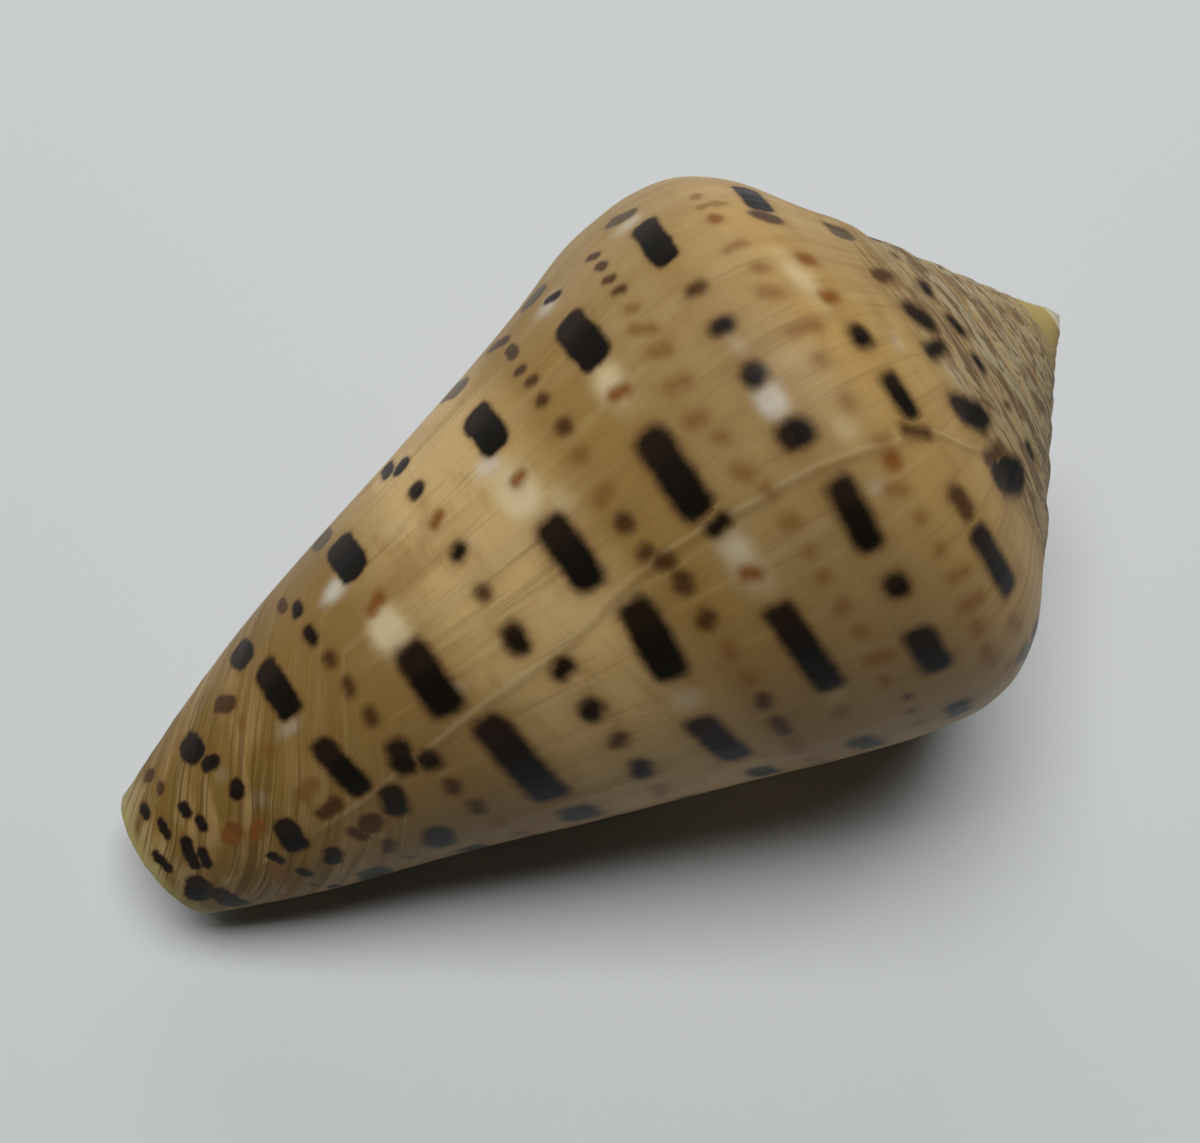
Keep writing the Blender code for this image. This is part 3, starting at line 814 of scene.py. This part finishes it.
for place, name in enumerate(("mark_start", "mark_reach", "mark_colour", "mark_touch")):
    keep_on_faces(name, mark_table[nearest][:, 3 * place:3 * place + 3])
print("faces inside a mark:", int(np.sum((best < 0.0) & (face_slots == PAINTED))))

# %% [markdown]
# ## Pale patches
# Beside many of the bars and round the orange dots the ground clears to cream or bluish white. Each patch
# is a soft oval. They are added up at the corners of the faces, because they are much larger than a face.

# %% Pale patches
# degrees, run, half lengths round and along in mm, strength
WHITE_PATCHES = (
    (68, 39.5, 1.7, 1.3, 0.85), (57, 39.2, 2.2, 1.0, 0.30), (19, 48.9, 1.6, 1.6, 0.60),
    (36, 77.1, 1.3, 1.7, 0.70), (108, 58.8, 1.6, 1.6, 0.45), (59, 94.2, 0.8, 1.0, 0.55),
    (77, 92.4, 1.0, 1.0, 0.65), (61, 86.8, 1.1, 1.5, 0.45), (42, 60.6, 1.4, 1.6, 0.60),
    (79, 21.8, 2.0, 1.0, 0.85), (19, 40.0, 1.3, 1.7, 0.50), (88, 36.8, 1.2, 1.2, 0.30),
    (68, 26.8, 1.5, 1.2, 0.25), (85, 48.2, 1.8, 1.5, 0.45), (22, 66.0, 1.0, 1.2, 0.25),
    (80, 73.6, 0.8, 1.6, 0.35), (103, 66.0, 1.5, 1.2, 0.20), (113, 39.6, 1.5, 1.2, 0.25),
)
CREAM_PATCHES = (
    (52, 59.8, 2.6, 1.9, 0.95), (58, 75.0, 2.4, 1.7, 0.95), (48, 48.6, 2.8, 1.6, 0.70),
    (88, 48.0, 3.4, 1.8, 0.60), (78, 36.2, 2.0, 1.4, 0.35), (44, 67.6, 2.6, 1.6, 0.30),
    (60, 57.3, 1.8, 1.6, 0.40), (50, 31.7, 4.0, 1.6, 0.45), (53, 65.3, 1.6, 1.4, 0.30),
    (36, 70.0, 2.0, 2.5, 0.25), (120, 48.8, 2.0, 1.6, 0.35),
)
HIDDEN_PATCH_ROWS = (39.6, 48.5, 59.0, 74.0)


def carry_patches_on(chance):
    """Pale patches for the hidden side, in the rows where the side that shows has them."""
    made = []
    for run_mm in HIDDEN_PATCH_ROWS:
        degrees = 150.0 + chance.uniform(0.0, 20.0)
        while degrees < 350.0:
            sizes = (chance.uniform(1.4, 2.8), chance.uniform(1.2, 1.8), chance.uniform(0.3, 0.9))
            made.append((degrees, run_mm, *sizes))
            degrees += chance.uniform(25.0, 48.0)
    return made


def patch_cover(patches):
    """How strongly the patches cover each corner, from 0 to 1."""
    cover = np.zeros(corner_count)
    for degrees, run_mm, round_mm, along_mm, strength in patches:
        radius = radius_mm_at(run_mm, math.radians(degrees))
        across = (corner_backs - math.radians(degrees)) * radius / round_mm
        along = (corner_runs_mm - run_mm) / along_mm
        cover = np.maximum(cover, strength * np.exp(-(across ** 2 + along ** 2)))
    return cover


def keep_on_corners(name, values):
    layer = shell_mesh.attributes.new(name, "FLOAT", "CORNER")
    layer.data.foreach_set("value", np.ascontiguousarray(values, np.float32))


hidden_patches = carry_patches_on(chance)
white_cover = patch_cover(WHITE_PATCHES + tuple(hidden_patches[::2]))
cream_cover = patch_cover(CREAM_PATCHES + tuple(hidden_patches[1::2]))
corner_radii_mm = section_point(corner_uv[:, 1], corner_backs)[0] / MM
scar_mm = scar_distance_mm(corner_uv[:, 1], corner_backs, corner_radii_mm)
for name, values in (("white_cover", white_cover), ("cream_cover", cream_cover), ("past_scar_mm", scar_mm)):
    keep_on_corners(name, values)
print("corners in a pale patch:", int(np.sum(np.maximum(white_cover, cream_cover) > 0.3)))

# %% [markdown]
# ## Node arithmetic
# A procedural material is mostly arithmetic on values, and as single nodes it is hard to read. This small
# class holds one socket of a node tree. Adding or multiplying two of them adds the Math node for it, and
# every other node comes from its one method, with its settings first and its inputs second.

# %% A socket that can be used in arithmetic
class Value:
    """A socket of a material's node tree."""

    def __init__(self, tree, socket=None):
        self.tree = tree
        self.socket = socket

    def node(self, kind, settings=None, inputs=None, output=0):
        """Add any node: its settings are made first, then its inputs are given numbers or links."""
        made = self.tree.nodes.new(kind)
        for name, setting in (settings or {}).items():
            if name == "stops":
                fill_ramp(made.color_ramp, setting)
            else:
                setattr(made, name, setting)
        for name, value in (inputs or {}).items():
            if isinstance(value, Value):
                self.tree.links.new(value.socket, made.inputs[name])
            else:
                made.inputs[name].default_value = value
        return Value(self.tree, made.outputs[output])

    def math(self, operation, *values):
        return self.node("ShaderNodeMath", {"operation": operation}, dict(enumerate(values)))

    def __add__(self, other):
        return self.math("ADD", self, other)

    __radd__ = __add__

    def __mul__(self, other):
        return self.math("MULTIPLY", self, other)

    __rmul__ = __mul__

    def __sub__(self, other):
        return self.math("SUBTRACT", self, other)

    def __rsub__(self, other):
        return self.math("SUBTRACT", other, self)

    def __truediv__(self, other):
        return self.math("DIVIDE", self, other)

    def __rtruediv__(self, other):
        return self.math("DIVIDE", other, self)

    def __pow__(self, other):
        return self.math("POWER", self, other)


def fill_ramp(ramp, stops):
    """Colour stops of a ramp, from left to right."""
    while len(ramp.elements) > 1:
        ramp.elements.remove(ramp.elements[-1])
    ramp.elements[0].position = stops[0][0]
    ramp.elements[0].color = (*stops[0][1], 1.0)
    for place, colour in stops[1:]:
        ramp.elements.new(place).color = (*colour, 1.0)


print("arithmetic ready")


# %% Short names for nodes that come up often
def fade(value, start, end):
    """0 before start, 1 after end, smooth between. With start above end it falls instead."""
    low, high, first, last = (start, end, 0.0, 1.0) if start < end else (end, start, 1.0, 0.0)
    return value.node("ShaderNodeMapRange", {"interpolation_type": "SMOOTHSTEP"},
                      {"Value": value, "From Min": low, "From Max": high, "To Min": first, "To Max": last})


def blend(factor, first, second):
    """Colour mix. Either colour may be three numbers."""
    first, second = (colour if isinstance(colour, Value) else (*colour, 1.0) for colour in (first, second))
    return factor.node("ShaderNodeMix", {"data_type": "RGBA", "clamp_factor": True},
                       {0: factor, 6: first, 7: second}, output=2)


def stored(start, name, output="Vector"):
    return start.node("ShaderNodeAttribute", {"attribute_name": name}, output=output)


def parts(vector):
    """The three numbers of a vector."""
    split = vector.node("ShaderNodeSeparateXYZ", inputs={0: vector})
    return [Value(vector.tree, socket) for socket in split.socket.node.outputs]


def vector_of(start, x, y, z=0.0):
    return start.node("ShaderNodeCombineXYZ", inputs={0: x, 1: y, 2: z})


def noise(place, scale=1.0, detail=3.0, roughness=0.5):
    """Soft noise from 0 to 1 at a place."""
    return place.node("ShaderNodeTexNoise", {"noise_dimensions": "3D"},
                      {"Vector": place, "Scale": scale, "Detail": detail, "Roughness": roughness})


def start_material(material):
    """Clear a material and return its tree's first value and its shader."""
    material.use_nodes = True
    tree = material.node_tree
    shader = next(node for node in tree.nodes if node.type == "BSDF_PRINCIPLED")
    return Value(tree), shader


def feed(shader, **values):
    """Numbers go on the shader's own sockets, and values are linked to them."""
    for name, value in values.items():
        socket = shader.inputs[name.replace("_", " ")]
        if isinstance(value, Value):
            value.tree.links.new(value.socket, socket)
        else:
            socket.default_value = value


# %% [markdown]
# ## The painted porcelain
# The outside is hard, worn and only softly glossy. From below upwards the paint is: a tan ground in eight
# bands; fine growth lines along the shell and faint spiral lines round it; pale patches; painted shade
# that darkens the flank towards the floor; the old scar with a painted highlight and a painted shade line
# along its ridge; the brown flecked spire; the worn, darker tip with its yellow edge; and last the marks
# with their warm rims, which stay dark over all of it. An image could hold the paint, but every layer here
# is a noise or a ramp on the growth coordinates, so it stays sharp close up.

# %% Ground bands
# run in millimetres where the band's own colour begins and ends, colour
GROUND_BANDS = (
    (16.0, 18.0, (0.38, 0.26, 0.12)),
    (25.0, 33.0, (0.48, 0.30, 0.10)),
    (38.0, 46.0, (0.40, 0.26, 0.10)),
    (51.0, 55.0, (0.35, 0.21, 0.06)),
    (60.0, 69.0, (0.64, 0.43, 0.18)),
    (77.0, 86.0, (0.28, 0.17, 0.05)),
    (91.0, 102.0, (0.40, 0.25, 0.09)),
    (106.0, 107.0, (0.47, 0.40, 0.19)),
)
RAMP_LENGTH_MM = 108.0
BAND_WAVER = 0.05
BEND_BEGINS = 0.88
TURNS_PER_RUN_AT_TIP = 1.35


def growth_place(start):
    """Where the painted point lies: turns, run, its growth line, angle in radians and run in millimetres.

    The growth lines turn aside past the bend near the tip.
    """
    uv = start.node("ShaderNodeUVMap", {"uv_map": "growth"})
    turns, run, _ = parts(uv)
    past_bend = run.math("MAXIMUM", run - BEND_BEGINS, 0.0)
    grown = turns - past_bend * TURNS_PER_RUN_AT_TIP
    return turns, run, grown, turns * FULL_TURN, run * (SHELL_LENGTH / MM)


def ground_colour(turns, run):
    """The tan ground: bands round the shell, each in one colour, with wavering edges."""
    waver = noise(vector_of(turns, turns * 9.0, run * 7.0), detail=3.0)
    shifted = (run + (waver - 0.5) * BAND_WAVER) * (SHELL_LENGTH / MM / RAMP_LENGTH_MM)
    stops = [(end / RAMP_LENGTH_MM, tone) for first, last, tone in GROUND_BANDS for end in (first, last)]
    return shifted.node("ShaderNodeValToRGB", {"stops": stops}, {0: shifted})


print("ground bands:", len(GROUND_BANDS))


# %% Growth lines
def growth_lines(turns, run):
    """Fine streaks along the shell: broad, middle and fine, each from 0 to 1."""
    broad = noise(vector_of(turns, turns * 26.0, run * 2.4, 3.1), detail=4.0, roughness=0.6)
    middle = noise(vector_of(turns, turns * 95.0, run * 3.6, 7.7), detail=3.0, roughness=0.55)
    fine = noise(vector_of(turns, turns * 330.0, run * 6.0, 1.3), detail=2.0, roughness=0.6)
    return broad, middle, fine


def spiral_lines(turns, run):
    """Faint lines round the shell, from 0 to 1."""
    return noise(vector_of(turns, turns * 5.0, run * 190.0, 5.0), detail=2.0)


def add_growth_lines(colour, turns, run, lines, spiral):
    """Mottle, broad brown and rosy streaks, and fine threads along and round the shell."""
    broad, middle, fine = lines
    mottle = noise(vector_of(turns, turns * 20.0, run * 26.0, 12.0), detail=4.0, roughness=0.6)
    layers = (
        (mottle, 0.48, 0.70, 0.45, (0.326, 0.185, 0.0572)),
        (broad, 0.50, 0.70, 0.45, (0.299, 0.167, 0.0528)),
        (broad, 0.46, 0.28, 0.30, (0.475, 0.317, 0.176)),
        (middle, 0.54, 0.72, 0.38, (0.246, 0.136, 0.044)),
        (middle, 0.44, 0.28, 0.22, (0.563, 0.414, 0.202)),
        (fine, 0.56, 0.73, 0.28, (0.211, 0.119, 0.0396)),
        (spiral, 0.58, 0.76, 0.18, (0.264, 0.158, 0.0616)),
    )
    for streaks, first, full, strength, tone in layers:
        colour = blend(fade(streaks, first, full) * strength, colour, tone)
    return colour


# %% Pale patches
def add_patches(colour, turns, run):
    """Cream patches, and white ones over them, both with ragged rims."""
    ragged = (noise(vector_of(turns, turns * 60.0, run * 22.0, 2.0), detail=3.0) - 0.5) * 0.35
    cream = fade(stored(turns, "cream_cover", "Fac") + ragged, 0.08, 0.72)
    white = fade(stored(turns, "white_cover", "Fac") + ragged, 0.08, 0.72)
    creamy = blend(cream * 0.90, colour, (0.74, 0.60, 0.35))
    return blend(white * 0.80, creamy, (0.70, 0.64, 0.52))


# %% Painted shade on the flank
FLANK_SHADE_FROM, FLANK_SHADE_FULL = 1.25, 1.95
FLANK_SHADE_UNTIL, FLANK_SHADE_GONE = 3.0, 3.9
FLANK_SHADE_STRENGTH = 0.45


def add_painted_flank_shade(colour, turns, angle, run):
    """Painted shade: the flank towards the floor is painted darker and browner than the top."""
    cloud = noise(vector_of(turns, turns * 14.0, run * 9.0, 15.0), detail=3.0)
    past_top = fade(angle + (cloud - 0.5) * 0.9, FLANK_SHADE_FROM, FLANK_SHADE_FULL)
    cover = past_top * fade(angle, FLANK_SHADE_GONE, FLANK_SHADE_UNTIL) * fade(run, 0.28, 0.42)
    # painted shade: a dark brown tone laid over the flank where it turns towards the floor
    return blend(cover * FLANK_SHADE_STRENGTH, colour, (0.25, 0.15, 0.055))


# %% Marks
RIM_WOBBLE_MM = 0.62
RIM_STREAK_MM = 0.16


def mark_layers(turns, angle, run_mm):
    """Millimetres past the rim of the nearest mark, the share along it, and its half width."""
    start_back, start_run, radius = parts(stored(turns, "mark_start"))
    reach_round, reach_along, half_width = parts(stored(turns, "mark_reach"))
    across = (angle - start_back) * radius
    along = run_mm - start_run
    share = (across * reach_round + along * reach_along) / (reach_round ** 2.0 + reach_along ** 2.0)
    share = share.node("ShaderNodeClamp", inputs={"Value": share})
    gap_across = across - reach_round * share
    gap_along = along - reach_along * share
    round_end = (gap_across ** 2.0 + gap_along ** 2.0) ** 0.5
    cubes = gap_across.math("ABSOLUTE", gap_across) ** 3.0 + gap_along.math("ABSOLUTE", gap_along) ** 3.0
    squareness = fade(half_width, 0.85, 1.2)
    distance = round_end + (cubes ** (1.0 / 3.0) - round_end) * squareness - half_width
    wobble = noise(vector_of(turns, angle * 15.0, run_mm * 0.7), detail=3.0) - 0.5
    streak = noise(vector_of(turns, angle * 110.0, run_mm * 0.8), detail=2.0) - 0.5
    return distance + wobble * RIM_WOBBLE_MM + streak * RIM_STREAK_MM, share, half_width


def add_marks(colour, turns, angle, run_mm):
    """The warm rim first, then the dark mark, browner at one end and where it is worn thin."""
    distance, share, half_width = mark_layers(turns, angle, run_mm)
    strength, warm, soft = parts(stored(turns, "mark_touch"))
    pigment = stored(turns, "mark_colour")
    density = noise(vector_of(turns, angle * 30.0, run_mm * 1.3, 4.0), detail=3.0)
    rim_cover = fade_by(distance, soft * 3.0) * warm
    rimmed = blend(rim_cover * 0.85, colour, (0.22, 0.101, 0.0264))
    core_cover = fade_by(distance, soft) * strength
    brown_end = fade(share, 0.55, 0.0) * fade(half_width, 0.6, 0.9) * 0.35 + fade(density, 0.60, 0.80) * 0.30
    tone = blend(brown_end, pigment, (0.045, 0.020, 0.010))
    return blend(core_cover, rimmed, tone)


def fade_by(distance, width):
    """1 well inside a rim, 0 outside it, over a width that is itself a value."""
    inside = 0.5 - distance / (width * 2.0)
    kept = inside.node("ShaderNodeClamp", inputs={"Value": inside})
    return kept * kept * (3.0 - 2.0 * kept)


# %% Old scar
def add_scar(colour, turns, run):
    """A painted highlight along the ridge of the scar, with a painted shade line just past it."""
    past = stored(turns, "past_scar_mm", "Fac")
    waver = (noise(vector_of(turns, turns * 8.0, run * 26.0, 9.0), detail=3.0) - 0.5) * 0.6
    near = past + waver
    # pale: painted highlight on the ridge of the scar; dark: painted shade just past the ridge
    pale = fade(near.math("ABSOLUTE", near + 0.15), 0.34, 0.04)
    dark = fade(near.math("ABSOLUTE", near - 0.42), 0.55, 0.06)
    scar_painted_shade = blend(dark * 0.26, colour, (0.17, 0.105, 0.05))
    return blend(pale * 0.26, scar_painted_shade, (0.546, 0.44, 0.264))


# %% Worn tip
TIP_BEGINS = 0.86


def add_tip(colour, turns, run):
    """Brown and yellow growth lines crowd towards the tip among pale threads, and the rim is yellow."""
    near_tip = fade(run, TIP_BEGINS, 1.08)
    waves = noise(vector_of(turns, turns * 7.0, run * 9.0, 6.0), detail=2.0)
    bent = turns + (waves - 0.5) * 0.05
    lines = noise(vector_of(turns, bent * 85.0, run * 4.0, 2.2), detail=4.0, roughness=0.65)
    stain = noise(vector_of(turns, bent * 16.0, run * 14.0, 8.0), detail=3.0)
    stained = blend(near_tip * fade(stain, 0.42, 0.58) * 0.85, colour, (0.20, 0.115, 0.018))
    lined = blend(near_tip * fade(lines, 0.45, 0.60) * 0.80, stained, (0.13, 0.066, 0.012))
    thread = noise(vector_of(turns, bent * 210.0, run * 3.0, 4.4), detail=2.0)
    threaded = blend(near_tip * fade(thread, 0.60, 0.71) * 0.45, lined, (0.528, 0.431, 0.229))
    rim = fade(run, CURVE_END - 0.016, CURVE_END - 0.003)
    return blend(rim * 0.75, threaded, (0.405, 0.334, 0.123))


# %% Flecked spire
def add_spire(colour, turns, run):
    """Pale, with brown blots and flecks that follow the sutures, yellow at the very point."""
    on_ramp = fade(run, 0.285, 0.235)
    up_spire = fade(turns, 0.15, 1.1)
    wave = noise(vector_of(turns, turns * 12.0, run * 22.0, 3.0), detail=3.0)
    bent = vector_of(turns, turns * 24.0 + wave * 3.0, run * 150.0 + wave * 6.0, 1.0)
    flecks = noise(bent, detail=3.0)
    blots = noise(vector_of(turns, turns * 15.0, run * 45.0, 7.0), detail=3.0, roughness=0.6)
    pale = blend(up_spire, (0.405, 0.299, 0.15), (0.396, 0.326, 0.189))
    blotted = blend(fade(blots, 0.46, 0.60) * 0.85, pale, (0.13, 0.070, 0.030))
    flecked = blend(fade(flecks, 0.50, 0.62) * 0.85, blotted, (0.105, 0.062, 0.036))
    suture = fade(run, 0.212, 0.2005)
    darkened = blend(suture * fade(turns, 4.0, 2.5) * 0.6, flecked, (0.12, 0.08, 0.05))
    point = fade(turns, 4.6, 6.2)
    tipped = blend(point, darkened, (0.414, 0.317, 0.114))
    return blend(on_ramp * fade(turns, -0.05, 0.25) * 0.92, colour, tipped)


# %% Put the painted porcelain together
start, shader = start_material(painted)
turns, run, grown, angle, run_mm = growth_place(start)
lines = growth_lines(grown, run)
spiral = spiral_lines(turns, run)
colour = ground_colour(turns, run)
colour = add_growth_lines(colour, turns, run, lines, spiral)
colour = add_patches(colour, turns, run)
# painted shade on the flank towards the floor
colour = add_painted_flank_shade(colour, turns, angle, run)
colour = add_scar(colour, turns, run)
colour = add_spire(colour, turns, run)
colour = add_tip(colour, grown, run)
colour = add_marks(colour, turns, angle, run_mm)
lip_flange = fade(angle, 0.060, 0.012)
colour = blend(lip_flange * 0.75, colour, (0.55, 0.48, 0.27))

broad, middle, fine = lines
scratches = noise(vector_of(turns, turns * 520.0, run * 2.0, 5.5), detail=1.0)
rough = 0.40 + fade(middle, 0.40, 0.75) * 0.12 + fade(run, 0.95, 1.10) * 0.10 + fade(run, 0.30, 0.24) * 0.22
height = broad * 0.5 + middle * 0.35 + fine * 0.16 + spiral * 0.25 - fade(scratches, 0.66, 0.74) * 0.25
bump = start.node("ShaderNodeBump", inputs={"Strength": 0.35, "Distance": 0.0001, "Height": height})
feed(shader, Base_Color=colour, Roughness=rough, Normal=bump, Specular_IOR_Level=0.16,
     Subsurface_Weight=0.05, Subsurface_Radius=(1.0, 0.55, 0.25), Subsurface_Scale=0.0012, IOR=1.5)
print("painted porcelain nodes:", len(painted.node_tree.nodes))

# %% [markdown]
# ## Inside and lip
# Inside the slit the shell is plain pale porcelain, a little warmer where it is deep, and the cut edge of
# the lip and the tip is thin enough to look yellowish. Both get their tone from noise on object
# coordinates, because no pattern follows the growth there.

# %% Inner and lip porcelain
def plain_porcelain(material, light_tone, deep_tone, rough):
    start, shader = start_material(material)
    place = start.node("ShaderNodeTexCoord", output="Object")
    cloud = noise(place, scale=160.0, detail=3.0)
    fine = noise(place, scale=900.0, detail=2.0)
    colour = blend(fade(cloud, 0.35, 0.68), light_tone, deep_tone)
    bump = start.node("ShaderNodeBump", inputs={"Strength": 0.25, "Distance": 0.0001, "Height": fine})
    feed(shader, Base_Color=colour, Roughness=rough + fade(fine, 0.4, 0.7) * 0.08, Normal=bump, Coat_Weight=0.2,
         Coat_Roughness=0.2, Subsurface_Weight=0.15, Subsurface_Radius=(1.0, 0.6, 0.3), Subsurface_Scale=0.0012)


plain_porcelain(inside, (0.66, 0.60, 0.52), (0.56, 0.47, 0.37), 0.28)
plain_porcelain(cut_edge, (0.56, 0.50, 0.31), (0.48, 0.40, 0.20), 0.32)
print("materials:", [material.name for material in shell_mesh.materials])

# %% [markdown]
# ## Floor and light
# The shell lies on a plain pale surface under one broad soft light, high up and a little behind it, with a
# weaker low one behind. The high one is wide, so the shadow fades out slowly. There is almost no fill from
# the near side, so the narrow shadow under the near flank is deep. A small lamp would make hard shadows.

# %% Floor
FLOOR_HALF_SIZE = 1.5
FLOOR_TONE = (0.66, 0.675, 0.68, 1.0)

bm = bmesh.new()
bmesh.ops.create_grid(bm, x_segments=4, y_segments=4, size=FLOOR_HALF_SIZE)
floor_mesh = bpy.data.meshes.new("floor")
bm.to_mesh(floor_mesh)
bm.free()
floor = add_object("floor", floor_mesh)
floor_material = bpy.data.materials.new("pale_floor")
start, shader = start_material(floor_material)
feed(shader, Base_Color=FLOOR_TONE, Roughness=0.75)
floor_mesh.materials.append(floor_material)

# %% Light
LIGHT_ACROSS = Vector((0.8786, -0.4776, 0.0))
LIGHT_TONE = (0.985, 0.995, 1.0)
SURROUND_TONE = (0.93, 0.97, 1.0)
SURROUND_STRENGTH = 0.02


def add_light(name, place, width, height, watts):
    """A rectangular light that faces the shell, its longer side level."""
    data = bpy.data.lights.new(name, "AREA")
    data.shape = "RECTANGLE"
    data.size = width
    data.size_y = height
    data.energy = watts
    data.color = LIGHT_TONE
    light = add_object(name, data)
    away = Vector(place).normalized()
    turn = Matrix((LIGHT_ACROSS, away.cross(LIGHT_ACROSS).normalized(), away)).transposed()
    light.matrix_world = Matrix.Translation(place) @ turn.to_4x4()


add_light("window above", (0.125, 0.215, 0.915), 0.75, 0.42, 8.0)
add_light("window behind", (0.370, 0.851, 0.375), 0.60, 0.35, 1.6)

world = bpy.data.worlds.new("surround")
scene.world = world
world.use_nodes = True
background = next(node for node in world.node_tree.nodes if node.type == "BACKGROUND")
background.inputs["Color"].default_value = (*SURROUND_TONE, 1.0)
background.inputs["Strength"].default_value = SURROUND_STRENGTH
scene.view_settings.view_transform = "Standard"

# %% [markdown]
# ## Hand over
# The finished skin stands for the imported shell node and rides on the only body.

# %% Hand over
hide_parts("shell")
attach(shell, "root")
